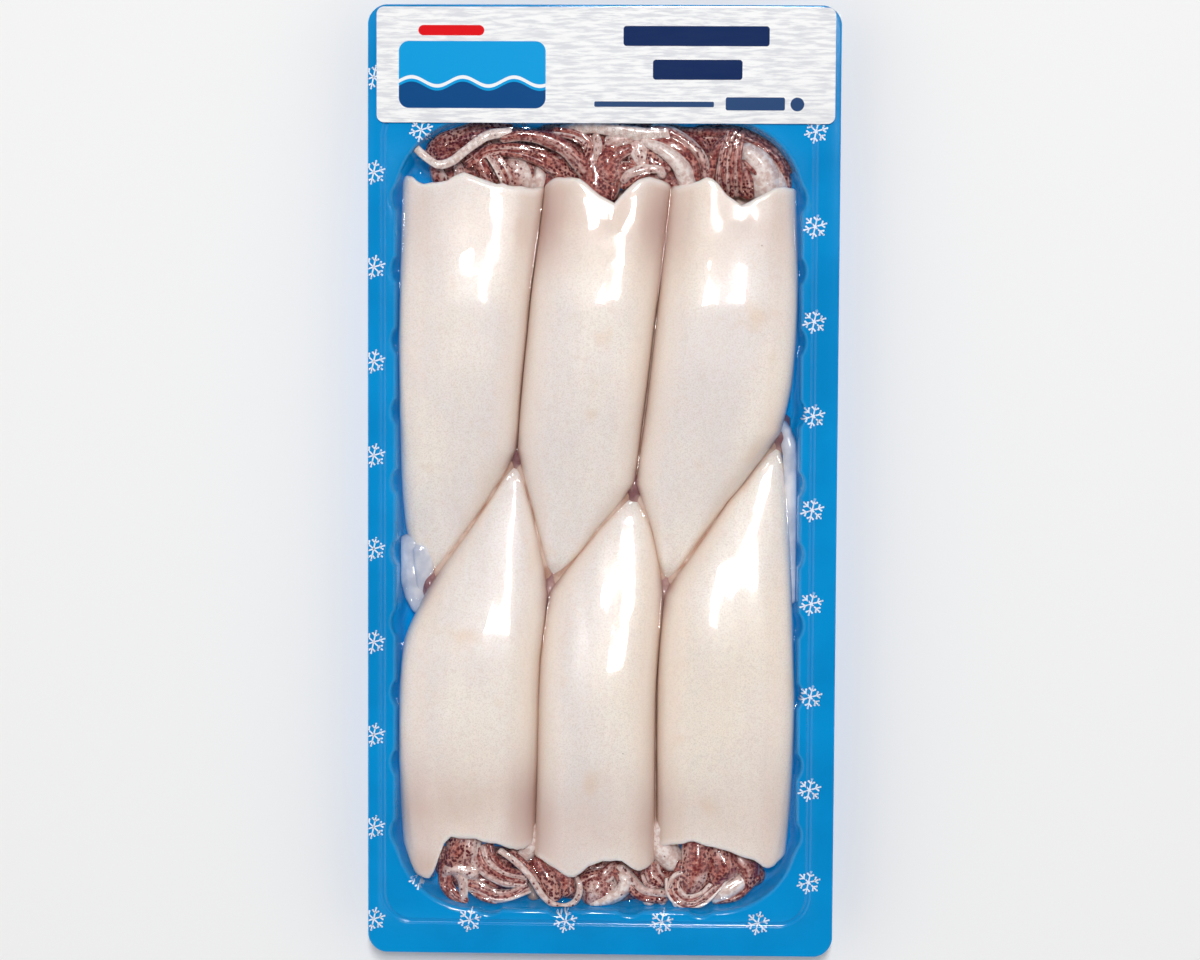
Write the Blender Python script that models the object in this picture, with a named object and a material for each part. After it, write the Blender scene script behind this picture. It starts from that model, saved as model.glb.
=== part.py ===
"""Retail pack of cleaned squid: six tubes with their arms, laid head to tail in a blue
thermoformed tray, under a sealed clear film with a card header label across one end.

Metres, +Z up. +Y runs towards the labelled end and +X across the pack; the origin is under
the middle of the tray, on the surface that it rests on.
"""
import math

import bmesh
import bpy
from mathutils import Vector

MM = 0.001

# Tray
TRAY_HALF_X = 69.0 * MM
TRAY_HALF_Y = 140.0 * MM
TRAY_CORNER_RADIUS = 6.0 * MM
FLANGE_TOP = 16.0 * MM
SHEET = 0.8 * MM
WELL_CENTRE = (-1.4 * MM, -10.0 * MM)
WELL_HALF_X = 60.5 * MM
WELL_HALF_Y = 117.9 * MM
WELL_CORNER_RADIUS = 24.5 * MM
FLOOR_TOP = SHEET
# Wall profile, from the mouth down: (inset from the mouth, height above the base, share of the
# flutes' depth), in millimetres; the first level is set by each form that uses the profile
WALL_PROFILE = ((0.0, None, 1.0), (1.3, 14.2, 0.95), (1.9, 3.6, 0.3), (4.4, 0.8, 0.0))
FLUTE_PITCH = 20.85 * MM
FLUTES_LONG_SIDE = 10
FLUTES_SHORT_SIDE = 4
FLUTE_WIDTH = 7.8 * MM
FLUTE_DEPTH = 1.4 * MM
# A flute's outline, as (place across its width, share of its depth)
FLUTE_PROFILE = ((-0.5, 0.0), (-0.22, 0.92), (0.22, 0.92), (0.5, 0.0))
GROOVE_OFFSET = 2.6 * MM
GROOVE_WIDTH = 2.0 * MM
GROOVE_DEPTH = 0.4 * MM
GROOVE_CORNER_RADIUS = 9.0 * MM
CORNER_STEPS = 4
WELL_CORNER_STEP = 18.0
SMOOTH_BELOW = 35.0

# Film frame and header label
GAP = 0.3 * MM
FILM_THICKNESS = 0.2 * MM
FILM_MARGIN = 0.4 * MM
LABEL_SIZE = (133.5 * MM, 33.5 * MM)
LABEL_CENTRE = (0.45 * MM, 122.45 * MM)
LABEL_THICKNESS = 0.4 * MM
LABEL_CORNER_RADIUS = 2.2 * MM

# Squid tubes
SEAM_GAP = 0.4 * MM
TUBE_BOTTOM = FLOOR_TOP + GAP
TUBE_STATION = 10.0 * MM
SECTION_POINTS = 14
TOP_EXPONENT = 3.0
BOTTOM_EXPONENT = 3.4
TIP_ROUNDING = 9.0 * MM
TIP_STATIONS = (0.0, 0.06, 0.2, 0.45)
TIP_LEAST_WIDTH = 0.12
TIP_LEAST_HEIGHT = 0.3
TIP_HEIGHT_SHARE = 0.42
TIP_RISE = 68.0 * MM
LEAST_HALF_WIDTH = 0.3 * MM
MOUTH_WALL = 2.5 * MM
MOUTH_DEPTH = 7.0 * MM
MOUTH_FALL = 38.0 * MM
MOUTH_HEIGHT_SHARE = 0.74
LOBE_LENGTH = 16.0 * MM
LOWER_LIP = 0.3
RIM_LENGTH = 1.2 * MM
RIM_ROUNDING = 0.45 * MM
RIM_FOLLOW = 0.92

# Seams between neighbouring tubes and along the tray wall, each as (x, y) in millimetres
SEAMS = {
    "wall_1": ((-58.9, 92.0), (-59.8, 40.0), (-59.2, 14.0), (-56.6, -14.0), (-51.9, -31.5)),
    "wall_3": ((56.7, 92.0), (57.2, 50.0), (56.0, 30.0), (52.8, 15.5)),
    "wall_4": ((-51.9, -31.5), (-58.1, -47.0), (-59.8, -72.0), (-59.0, -102.0), (-57.0, -124.0)),
    "wall_6": ((52.8, 15.5), (55.2, -8.0), (57.0, -60.0), (56.4, -94.0), (54.6, -118.0)),
    "seam_1_2": ((-17.2, 92.0), (-22.3, 44.0), (-25.3, 9.8)),
    "seam_2_3": ((20.0, 92.0), (15.4, 47.0), (9.8, 0.0)),
    "seam_1_4": ((-25.3, 9.8), (-37.0, -10.0), (-51.9, -31.5)),
    "seam_2_4": ((-25.3, 9.8), (-21.0, -8.0), (-15.8, -32.4)),
    "seam_2_5": ((9.8, 0.0), (-1.5, -14.0), (-15.8, -32.4)),
    "seam_3_5": ((9.8, 0.0), (14.8, -14.0), (18.4, -32.8)),
    "seam_3_6": ((52.8, 15.5), (37.0, -5.0), (18.4, -32.8)),
    "seam_4_5": ((-15.8, -32.4), (-18.0, -52.0), (-20.2, -124.0)),
    "seam_5_6": ((18.4, -32.8), (16.2, -64.0), (17.0, -124.0)),
}
# Each tube: the seams that bound its left and right sides, the places of its tip and mouth along
# Y, its greatest height, and the lobes of its mouth's edge as (x, reach, width); in millimetres
TUBES = {
    1: {"left": ("wall_1",), "right": ("seam_1_2", "seam_1_4"), "tip": -29.5, "mouth": 88.0,
        "height": 19.3, "lobes": ((-57.0, 2.4, 3.0), (-41.0, 3.2, 6.0), (-22.0, -1.6, 5.0))},
    2: {"left": ("seam_1_2", "seam_2_4"), "right": ("seam_2_3", "seam_2_5"), "tip": -30.2,
        "mouth": 88.0, "height": 20.0,
        "lobes": ((-11.0, 2.6, 5.0), (2.0, -5.4, 5.0), (13.0, 2.0, 5.0))},
    3: {"left": ("seam_2_3", "seam_3_5"), "right": ("wall_3", "seam_3_6"), "tip": -30.6,
        "mouth": 87.5, "height": 20.3, "lobes": ((30.0, 2.8, 5.0), (41.0, -5.0, 6.0))},
    4: {"left": ("seam_1_4", "wall_4"), "right": ("seam_2_4", "seam_4_5"), "tip": 7.6,
        "mouth": -107.0, "height": 19.6,
        "lobes": ((-51.4, 12.6, 2.9), (-55.3, 7.0, 2.8), (-42.0, -1.6, 5.0), (-24.0, 2.2, 5.0))},
    5: {"left": ("seam_2_5", "seam_4_5"), "right": ("seam_3_5", "seam_5_6"), "tip": -2.4,
        "mouth": -112.0, "height": 20.6, "lobes": ((-9.0, 5.2, 5.0), (12.0, 3.6, 5.0))},
    6: {"left": ("seam_3_6", "seam_5_6"), "right": ("wall_6",), "tip": 13.2, "mouth": -109.0,
        "height": 20.0, "lobes": ((26.0, -2.6, 7.0), (50.0, 4.6, 7.0))},
}

# Heads and arms
ARM_SIDES = 6
ARM_STATION = 5.4 * MM
ARM_CAP = 0.55
HEAD_CLEARANCE = 0.9 * MM
HEAD_POINTS = 12
# Head profile, out of the mouth: (distance from the mouth's edge, share of its full section)
HEAD_PROFILE = ((-5.3, 0.82), (-3.5, 1.0), (0.0, 1.0), (3.0, 0.86), (5.0, 0.5))
# Each arm: (radius at the root, radius at the tip, route), the route as (x, y, z) points;
# radii and points in millimetres
ARMS = {
    1: (
        (3.0, 2.6, ((-46, 86, 7), (-50.5, 91, 6), (-51, 97, 6), (-46, 101, 5.5), (-28, 103, 5.5))),
        (3.4, 2.4, ((-34, 86, 8), (-35, 93, 8), (-37, 96, 7.5))),
        (3.7, 2.8, ((-26, 85, 8), (-25.5, 92, 8), (-27, 94, 7.5))),
        (1.9, 1.6, ((-23.5, 87, 7), (-20, 90.5, 8), (-18.6, 94, 8))),
    ),
    2: (
        (5.2, 4.2, ((2, 85.5, 8.6), (2, 91, 9.4), (3, 96, 9))),
        (2.4, 0.9, ((0, 93, 11), (-15, 100, 12.5), (-30, 101, 13), (-40, 95.5, 13), (-48, 93, 12.5),
                    (-54.8, 96.8, 14.2))),
        (2.1, 1.3, ((-2, 91, 10), (-12, 93.5, 11), (-24, 97, 12.4), (-33, 97.5, 13))),
        (1.9, 1.3, ((-3, 88.5, 9), (-13, 91.5, 11.6), (-21, 95, 12.4))),
        (2.2, 1.6, ((1, 97, 9), (-2, 102, 9.5), (-6, 103, 9))),
        (2.6, 2.9, ((4, 98, 10), (12, 102.3, 10.5), (21, 100.5, 11), (26, 95.5, 11.2))),
        (2.3, 2.5, ((8, 97, 11.5), (15, 97, 11.5), (20.6, 93, 11))),
        (2.6, 2.2, ((8, 88, 9), (12.5, 92.5, 10))),
    ),
    3: (
        (2.3, 2.0, ((32.5, 86, 8), (32.5, 93, 9), (35, 99, 9))),
        (2.4, 1.8, ((36.5, 84, 9), (36.8, 93, 11), (38.5, 102, 10))),
        (2.0, 1.6, ((40.4, 83, 9), (40.2, 93, 11), (39.4, 101, 10))),
        (2.2, 2.0, ((38, 99, 7), (34, 102, 5), (29, 102.6, 4.2))),
        (3.3, 2.6, ((44, 88, 8), (47.5, 92.5, 8), (50.5, 89, 7))),
        (1.3, 1.1, ((41, 99, 9), (47, 98, 9), (52, 94.5, 8.5), (54, 89, 8))),
    ),
    4: (
        (4.2, 3.6, ((-41.5, -106, 8), (-42, -111, 8.5))),
        (1.7, 1.4, ((-45, -109, 8), (-47, -117, 9), (-45.5, -122, 11), (-41, -124.3, 12))),
        (2.7, 2.1, ((-40, -110, 9), (-41.5, -117, 9.5), (-40.5, -122.5, 11))),
        (2.3, 1.7, ((-37, -108, 10), (-31, -113.5, 10.5), (-26, -116.5, 10))),
        (2.0, 1.6, ((-38.5, -112, 7), (-31, -117, 7.5), (-25, -118.5, 7))),
        (2.2, 1.4, ((-39, -119, 8), (-32, -121.8, 10), (-24, -122.3, 10.5))),
    ),
    5: (
        (2.0, 1.4, ((-27, -111.8, 13.2), (-22.5, -115, 13), (-17.5, -121, 12), (-12, -124.6, 12),
                    (-8.4, -122, 11), (-8, -117, 9))),
        (4.4, 3.6, ((-7, -114, 8), (-12, -118.5, 8.5))),
        (2.3, 1.8, ((-10, -112, 7), (-16, -111.5, 7.5), (-18.5, -114.5, 9))),
        (3.9, 3.0, ((5, -113, 8), (0.5, -118.5, 9), (-2, -121.5, 10))),
        (2.0, 1.6, ((8, -114, 9), (11.5, -119.5, 10), (15, -121, 9.5))),
        (2.8, 2.4, ((13, -113, 7), (14.5, -117, 7.5))),
        (2.0, 1.6, ((9, -118, 6), (12, -123, 8), (16, -123.6, 9))),
    ),
    6: (
        (1.6, 1.2, ((28, -115, 9), (21.5, -117, 9), (20.6, -122, 11), (25, -125, 12.4),
                    (33, -123.5, 12), (38, -118.5, 11), (44, -116, 9))),
        (4.4, 3.4, ((33, -110, 8), (28.5, -117, 8.5), (26.5, -120, 9))),
        (3.6, 2.8, ((40, -111, 8), (37, -116, 8))),
        (3.2, 2.4, ((43, -114, 7.5), (39.5, -119, 8), (36, -121.5, 9))),
        (1.5, 1.2, ((46, -113, 6), (44, -119.5, 8), (37, -124.2, 10.5))),
        (2.4, 2.0, ((48, -112, 6), (51, -116, 6.5))),
    ),
}


def clear_scene():
    for old in list(bpy.data.objects):
        bpy.data.objects.remove(old, do_unlink=True)


def material(name, colour, roughness):
    made = bpy.data.materials.new(name)
    made.use_nodes = True
    shader = made.node_tree.nodes["Principled BSDF"]
    shader.inputs["Base Color"].default_value = (*colour, 1.0)
    shader.inputs["Roughness"].default_value = roughness
    return made


def add_object(name, bm, surface=None):
    """Turn a bmesh into a named object with outward faces."""
    bmesh.ops.recalc_face_normals(bm, faces=bm.faces)
    mesh = bpy.data.meshes.new(name)
    bm.to_mesh(mesh)
    bm.free()
    mesh.shade_smooth()
    mesh.set_sharp_from_angle(angle=math.radians(SMOOTH_BELOW))
    if surface:
        mesh.materials.append(surface)
    made = bpy.data.objects.new(name, mesh)
    bpy.context.collection.objects.link(made)
    return made


def add_cutter(name, bm):
    cutter = add_object(name, bm)
    cutter.hide_render = True
    cutter.display_type = "WIRE"
    return cutter


def cut_away(target, cutter):
    """Take the cutter from the target; overlapping bodies of either count as one."""
    boolean = target.modifiers.new(cutter.name, "BOOLEAN")
    boolean.operation = "DIFFERENCE"
    boolean.solver = "EXACT"
    boolean.use_self = True
    boolean.object = cutter


def rounded_rectangle(centre, half_x, half_y, radius, height):
    """Corner points of a rectangle with round corners, anticlockwise at one height."""
    points = []
    for quarter, (sign_x, sign_y) in enumerate(((1, 1), (-1, 1), (-1, -1), (1, -1))):
        corner_x = centre[0] + sign_x * (half_x - radius)
        corner_y = centre[1] + sign_y * (half_y - radius)
        for step in range(CORNER_STEPS + 1):
            angle = math.radians(90.0 * (quarter + step / CORNER_STEPS))
            points.append((corner_x + radius * math.cos(angle),
                           corner_y + radius * math.sin(angle), height))
    return points


def loft(bm, loops, capped=True):
    """Skin loops of equal length, in order, and close both ends with a face."""
    rings = [[bm.verts.new(point) for point in loop] for loop in loops]
    for lower, upper in zip(rings, rings[1:]):
        for index in range(len(lower)):
            following = (index + 1) % len(lower)
            bm.faces.new((lower[index], lower[following], upper[following], upper[index]))
    if capped:
        bm.faces.new(list(reversed(rings[0])))
        bm.faces.new(rings[-1])
    return rings


def slab(bm, centre, half_x, half_y, radius, bottom, top):
    loft(bm, [rounded_rectangle(centre, half_x, half_y, radius, height)
              for height in (bottom, top)])


def fluted_side(middle, along, outward, count, growth, depth):
    """Points along one straight side of the well, with its flutes as flat-topped bulges."""
    points = []
    width = FLUTE_WIDTH + growth
    for index in range(count):
        flute_middle = middle + along * ((index - 0.5 * (count - 1)) * FLUTE_PITCH)
        for place, reach in FLUTE_PROFILE:
            points.append(flute_middle + along * (place * width) + outward * (reach * depth))
    return points


def well_loop(growth, inset, depth, height):
    """One level of the well's wall: four fluted sides joined by round corners."""
    radius = WELL_CORNER_RADIUS + growth - inset
    half_x = WELL_HALF_X - WELL_CORNER_RADIUS
    half_y = WELL_HALF_Y - WELL_CORNER_RADIUS
    points = []
    for quarter in range(4):
        angle = math.radians(90.0 * quarter)
        outward = Vector((math.cos(angle), math.sin(angle)))
        along = Vector((-outward.y, outward.x))
        reach, half_length = (half_x, half_y) if quarter % 2 == 0 else (half_y, half_x)
        count = FLUTES_LONG_SIDE if quarter % 2 == 0 else FLUTES_SHORT_SIDE
        middle = Vector(WELL_CENTRE) + outward * (reach + radius)
        points += fluted_side(middle, along, outward, count, growth, depth)
        corner = Vector(WELL_CENTRE) + outward * reach + along * half_length
        for step in range(1, CORNER_STEPS + 1):
            turn = angle + math.radians(WELL_CORNER_STEP * step)
            points.append(corner + radius * Vector((math.cos(turn), math.sin(turn))))
    return [(point.x, point.y, height) for point in points]


def well_block(bm, growth, drop, top):
    """The well's form, grown sideways and dropped by the sheet for its outer side."""
    loops = []
    for inset, height, flute_share in WALL_PROFILE:
        level = top if height is None else height * MM - drop
        loops.append(well_loop(growth, inset * MM, flute_share * FLUTE_DEPTH, level))
    loft(bm, loops)


def groove_ring(bm):
    """The shallow seal groove round the well, as a closed ring to cut from the flange."""
    loops = []
    above, level, bed = FLANGE_TOP + GAP, FLANGE_TOP, FLANGE_TOP - GROOVE_DEPTH
    outline = ((-0.5, above), (-0.5, level), (-0.2, bed), (0.2, bed), (0.5, level), (0.5, above))
    for offset, height in outline:
        reach = GROOVE_OFFSET + offset * GROOVE_WIDTH
        loops.append(rounded_rectangle(WELL_CENTRE, WELL_HALF_X + reach, WELL_HALF_Y + reach,
                                       GROOVE_CORNER_RADIUS + offset * GROOVE_WIDTH, height))
    rings = loft(bm, loops, capped=False)
    for index in range(len(rings[0])):
        following = (index + 1) % len(rings[0])
        bm.faces.new((rings[-1][index], rings[-1][following], rings[0][following], rings[0][index]))


def build_tray():
    blue = material("tray_blue", (0.0, 0.28, 0.65), 0.35)
    under = FLANGE_TOP - 0.5 * SHEET
    bm = bmesh.new()
    slab(bm, (0.0, 0.0), TRAY_HALF_X, TRAY_HALF_Y, TRAY_CORNER_RADIUS, FLANGE_TOP - SHEET, FLANGE_TOP)
    well_block(bm, SHEET, SHEET, under)
    tray = add_object("tray", bm, blue)
    bm = bmesh.new()
    well_block(bm, 0.0, 0.0, FLANGE_TOP + GAP)
    cut_away(tray, add_cutter("cutter_well", bm))
    bm = bmesh.new()
    groove_ring(bm)
    cut_away(tray, add_cutter("cutter_groove", bm))


def build_film():
    """The film's sealed margin: a thin frame on the flange, open over the well."""
    clear = material("film_clear", (0.85, 0.92, 0.97), 0.1)
    bottom = FLANGE_TOP + GAP
    bm = bmesh.new()
    slab(bm, (0.0, 0.0), TRAY_HALF_X - FILM_MARGIN, TRAY_HALF_Y - FILM_MARGIN,
         TRAY_CORNER_RADIUS - FILM_MARGIN, bottom, bottom + FILM_THICKNESS)
    film = add_object("film", bm, clear)
    bm = bmesh.new()
    slab(bm, WELL_CENTRE, WELL_HALF_X, WELL_HALF_Y, WELL_CORNER_RADIUS, FLANGE_TOP,
         bottom + 2.0 * FILM_THICKNESS)
    cut_away(film, add_cutter("cutter_film", bm))


def build_label():
    card = material("label_white", (0.88, 0.88, 0.89), 0.4)
    bottom = FLANGE_TOP + 2.0 * GAP + FILM_THICKNESS
    bm = bmesh.new()
    slab(bm, LABEL_CENTRE, 0.5 * LABEL_SIZE[0], 0.5 * LABEL_SIZE[1], LABEL_CORNER_RADIUS,
         bottom, bottom + LABEL_THICKNESS)
    add_object("header_label", bm, card)


def smooth_step(share):
    share = min(max(share, 0.0), 1.0)
    return share * share * (3.0 - 2.0 * share)


def curve_point(points, place):
    """A point of the smooth curve through the points; place runs from 0 to their last index."""
    index = min(int(place), len(points) - 2)
    share = place - index
    here, there = Vector(points[index]), Vector(points[index + 1])
    before = Vector(points[index - 1]) if index else here + (here - there)
    beyond = Vector(points[index + 2]) if index + 2 < len(points) else there + (there - here)
    slope_here = 0.5 * (there - before)
    slope_there = 0.5 * (beyond - here)
    square, cube = share ** 2, share ** 3
    return ((2 * cube - 3 * square + 1) * here + (cube - 2 * square + share) * slope_here
            + (3 * square - 2 * cube) * there + (cube - square) * slope_there)


def seam_x(names, y):
    """Where a side of a tube lies across the pack at a station along it."""
    for name in names:
        points = SEAMS[name]
        if points[-1][1] * MM <= y <= points[0][1] * MM:
            for index, (here, there) in enumerate(zip(points, points[1:])):
                if there[1] * MM <= y <= here[1] * MM:
                    share = (here[1] * MM - y) / ((here[1] - there[1]) * MM)
                    return curve_point(points, index + share)[0] * MM
    ends = [point for name in names for point in (SEAMS[name][0], SEAMS[name][-1])]
    return min(ends, key=lambda point: abs(point[1] * MM - y))[0] * MM


def lobe_reach(tube, x):
    """How far the mouth's edge stands out beyond its straight line at one place across."""
    return sum(reach * MM * math.exp(-((x - place * MM) / (width * MM)) ** 2)
               for place, reach, width in tube["lobes"])


def section_size(tube, y):
    """Left side, right side and height of a tube at a station along it."""
    left = seam_x(tube["left"], y) + 0.5 * SEAM_GAP
    right = seam_x(tube["right"], y) - 0.5 * SEAM_GAP
    from_tip = abs(y - tube["tip"] * MM)
    from_mouth = abs(y - tube["mouth"] * MM)
    rounding = math.sqrt(1.0 - (1.0 - min(from_tip / TIP_ROUNDING, 1.0)) ** 2)
    middle = 0.5 * (left + right)
    half_width = max(0.5 * (right - left), LEAST_HALF_WIDTH) * max(rounding, TIP_LEAST_WIDTH)
    rise = TIP_HEIGHT_SHARE + (1.0 - TIP_HEIGHT_SHARE) * smooth_step(from_tip / TIP_RISE)
    fall = MOUTH_HEIGHT_SHARE + (1.0 - MOUTH_HEIGHT_SHARE) * smooth_step(from_mouth / MOUTH_FALL)
    height = (tube["height"] * MM - TUBE_BOTTOM) * rise * fall * max(rounding, TIP_LEAST_HEIGHT)
    return middle - half_width, middle + half_width, height


def section(tube, y, inset=0.0, follow_lobes=0.0, points=SECTION_POINTS):
    """One ring across a tube: rounded above, flatter where it lies on the tray floor."""
    left, right, height = section_size(tube, y)
    half_width = 0.5 * (right - left) - inset
    half_height = 0.5 * height - inset
    outward = math.copysign(1.0, tube["mouth"] - tube["tip"])
    ring = []
    for step in range(points):
        angle = math.tau * (step + 0.5) / points
        cosine, sine = math.cos(angle), math.sin(angle)
        power = 2.0 / (TOP_EXPONENT if sine > 0 else BOTTOM_EXPONENT)
        x = 0.5 * (left + right) + half_width * math.copysign(abs(cosine) ** power, cosine)
        z = TUBE_BOTTOM + 0.5 * height + half_height * math.copysign(abs(sine) ** power, sine)
        lip = LOWER_LIP + (1.0 - LOWER_LIP) * smooth_step((z - TUBE_BOTTOM) / height)
        ring.append((x, y + follow_lobes * lip * outward * lobe_reach(tube, x), z))
    return ring


def tube_rings(tube, growth=0.0):
    """Rings from the closed tip over the mouth's edge and down into its shallow hollow."""
    tip, mouth = tube["tip"] * MM, tube["mouth"] * MM
    outward = math.copysign(1.0, mouth - tip)
    length = abs(mouth - tip)
    reach = [share * TIP_ROUNDING for share in TIP_STATIONS]
    first_even = math.ceil(TIP_ROUNDING / TUBE_STATION)
    reach += [index * TUBE_STATION for index in range(first_even, int(length / TUBE_STATION))]
    rings = []
    for distance in reach:
        follow = smooth_step(1.0 - (length - distance) / LOBE_LENGTH)
        rings.append(section(tube, tip + outward * distance, -growth, follow))
    rim = mouth - outward * RIM_LENGTH
    edge = mouth + outward * growth
    rings.append(section(tube, rim, -growth, RIM_FOLLOW))
    rings.append(section(tube, edge, RIM_ROUNDING - growth, 1.0))
    rings.append(section(tube, edge, MOUTH_WALL - RIM_ROUNDING + growth, 1.0))
    rings.append(section(tube, rim, MOUTH_WALL + growth, RIM_FOLLOW))
    rings.append(section(tube, mouth - outward * (MOUTH_DEPTH - growth), MOUTH_WALL + growth))
    return rings


def build_tube(number, flesh):
    bm = bmesh.new()
    loft(bm, tube_rings(TUBES[number]))
    return add_object(f"mantle_{number}", bm, flesh)


def arm(bm, root_radius, tip_radius, route):
    """A tapering round arm along a smooth route, closed at both ends by small rounded caps."""
    points = [Vector(point) * MM for point in route]
    length = sum((there - here).length for here, there in zip(points, points[1:]))
    stations = max(3, round(length / ARM_STATION))
    last = len(points) - 1
    centres = [curve_point(points, last * step / stations) for step in range(stations + 1)]
    side = Vector((0.0, 0.0, 1.0))
    loops = []
    for step, centre in enumerate(centres):
        ahead = centres[min(step + 1, stations)] - centres[max(step - 1, 0)]
        ahead.normalize()
        side = (side - ahead * side.dot(ahead)).normalized()
        other = ahead.cross(side)
        radius = (root_radius + (tip_radius - root_radius) * step / stations) * MM
        rings = [(0.0, 1.0)]
        if step == 0:
            rings = [(-ARM_CAP, ARM_CAP), (0.0, 1.0)]
        if step == stations:
            rings = [(0.0, 1.0), (ARM_CAP, ARM_CAP)]
        for shift, scale in rings:
            loops.append([centre + ahead * (shift * radius)
                          + side * (scale * radius * math.cos(math.tau * turn / ARM_SIDES))
                          + other * (scale * radius * math.sin(math.tau * turn / ARM_SIDES))
                          for turn in range(ARM_SIDES)])
    loft(bm, loops)


def head(bm, tube):
    """The flattened head that fills the mouth of its tube."""
    mouth = tube["mouth"] * MM
    outward = math.copysign(1.0, tube["mouth"] - tube["tip"])
    left, right, height = section_size(tube, mouth)
    middle = Vector((0.5 * (left + right), 0.0, TUBE_BOTTOM + 0.5 * height))
    rings = []
    for distance, scale in HEAD_PROFILE:
        ring = section(tube, mouth, MOUTH_WALL + HEAD_CLEARANCE, 0.0, HEAD_POINTS)
        shift = Vector((0.0, mouth + outward * distance * MM, 0.0))
        rings.append([middle + scale * (Vector((x, 0.0, z)) - middle) + shift for x, _, z in ring])
    loft(bm, rings)


def build_arms(number, skin):
    bm = bmesh.new()
    head(bm, TUBES[number])
    for root_radius, tip_radius, route in ARMS[number]:
        arm(bm, root_radius, tip_radius, route)
    arms = add_object(f"arms_{number}", bm, skin)
    bm = bmesh.new()
    loft(bm, tube_rings(TUBES[number], growth=GAP))
    cut_away(arms, add_cutter(f"cutter_mouth_{number}", bm))


def build():
    clear_scene()
    build_tray()
    build_film()
    build_label()
    flesh = material("squid_flesh", (0.80, 0.73, 0.68), 0.35)
    skin = material("squid_arm_skin", (0.46, 0.22, 0.22), 0.4)
    for number in TUBES:
        build_tube(number, flesh)
        build_arms(number, skin)


build()
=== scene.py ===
"""Looks for a retail pack of cleaned squid: a blue thermoformed tray with six squid tubes and
their arms, a clear film drawn down over them, and a brushed white header label.

Metres, +Z up, +Y towards the label. The sections follow the pack as it is filled and sealed.
"""
import math

import bmesh
import bpy
import numpy as np
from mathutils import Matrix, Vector, noise
from mathutils.bvhtree import BVHTree


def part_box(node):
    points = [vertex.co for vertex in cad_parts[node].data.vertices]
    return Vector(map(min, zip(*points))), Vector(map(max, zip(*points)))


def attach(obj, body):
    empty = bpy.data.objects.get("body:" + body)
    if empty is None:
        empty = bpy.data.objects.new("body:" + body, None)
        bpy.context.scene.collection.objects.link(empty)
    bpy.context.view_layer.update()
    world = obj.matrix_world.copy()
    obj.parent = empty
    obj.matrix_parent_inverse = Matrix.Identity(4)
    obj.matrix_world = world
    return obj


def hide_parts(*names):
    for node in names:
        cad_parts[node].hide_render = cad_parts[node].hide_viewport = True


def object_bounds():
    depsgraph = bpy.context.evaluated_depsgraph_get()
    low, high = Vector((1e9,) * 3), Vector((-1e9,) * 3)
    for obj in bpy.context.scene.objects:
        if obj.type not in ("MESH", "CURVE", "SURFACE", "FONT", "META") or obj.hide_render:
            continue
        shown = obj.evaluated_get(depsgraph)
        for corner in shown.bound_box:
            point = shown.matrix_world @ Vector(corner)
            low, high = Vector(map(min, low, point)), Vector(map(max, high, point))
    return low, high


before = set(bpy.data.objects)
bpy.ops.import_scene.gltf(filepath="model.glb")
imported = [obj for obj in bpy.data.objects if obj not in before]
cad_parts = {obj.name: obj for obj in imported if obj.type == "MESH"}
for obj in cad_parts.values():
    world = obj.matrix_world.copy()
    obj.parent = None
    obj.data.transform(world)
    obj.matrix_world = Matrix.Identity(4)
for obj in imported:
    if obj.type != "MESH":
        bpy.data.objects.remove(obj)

MM = 0.001
cad_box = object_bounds()


# ---- Studio: a plain pale floor, one soft window of light over the label end, a wide dim fill on
# ---- each side of the pack, and an even white surround that darkens overhead.
FLOOR_HALF = 12.0
FLOOR_DROP = 0.2 * MM
SURROUND_LIGHT = 0.42
OVERHEAD_LOSS = 0.36
scene = bpy.context.scene
scene.view_settings.view_transform = "Standard"

camera_data = bpy.data.cameras.new("camera")
camera_data.sensor_width = 36.0
camera_data.lens = 90.5
camera_data.clip_end = 10.0
camera = bpy.data.objects.new("camera", camera_data)
camera.location = (0.025, 0.065, 0.9)
camera.rotation_euler = (math.radians(-4.1), math.radians(1.68), math.radians(0.3))
scene.collection.objects.link(camera)
scene.camera = camera


def softbox(name, place, width, height, power):
    """A rectangular studio light at one place, facing the middle of the pack."""
    data = bpy.data.lights.new(name, "AREA")
    data.shape = "RECTANGLE"
    data.size = width
    data.size_y = height
    data.energy = power
    light = bpy.data.objects.new(name, data)
    light.location = place
    light.rotation_euler = (-Vector(place)).to_track_quat("-Z", "Y").to_euler()
    scene.collection.objects.link(light)


softbox("window", (0.06, 0.5, 1.65), 0.16, 0.42, 16.5)
softbox("left fill", (-1.6, -0.3, 1.1), 2.4, 2.4, 9.5)
softbox("right fill", (1.6, -0.3, 1.1), 2.4, 2.4, 7.0)


class Wire:
    """A socket inside a node tree; arithmetic on it adds Math nodes."""

    def __init__(self, graph, socket):
        self.graph = graph
        self.socket = socket

    def __getitem__(self, output):
        return Wire(self.graph, self.socket.node.outputs[output])

    def math(self, operation, first, second=None):
        inputs = {0: first} if second is None else {0: first, 1: second}
        return self.graph.node("ShaderNodeMath", inputs, operation=operation)

    def __abs__(self):
        return self.math("ABSOLUTE", self)

    def clamped(self):
        return self.math("MAXIMUM", self.math("MINIMUM", self, 1.0), 0.0)

    def between(self, low, high):
        """0 below low, 1 above high and smooth between them."""
        return self.graph.node("ShaderNodeMapRange", {"Value": self, "From Min": low, "From Max": high},
                               interpolation_type="SMOOTHSTEP")


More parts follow.
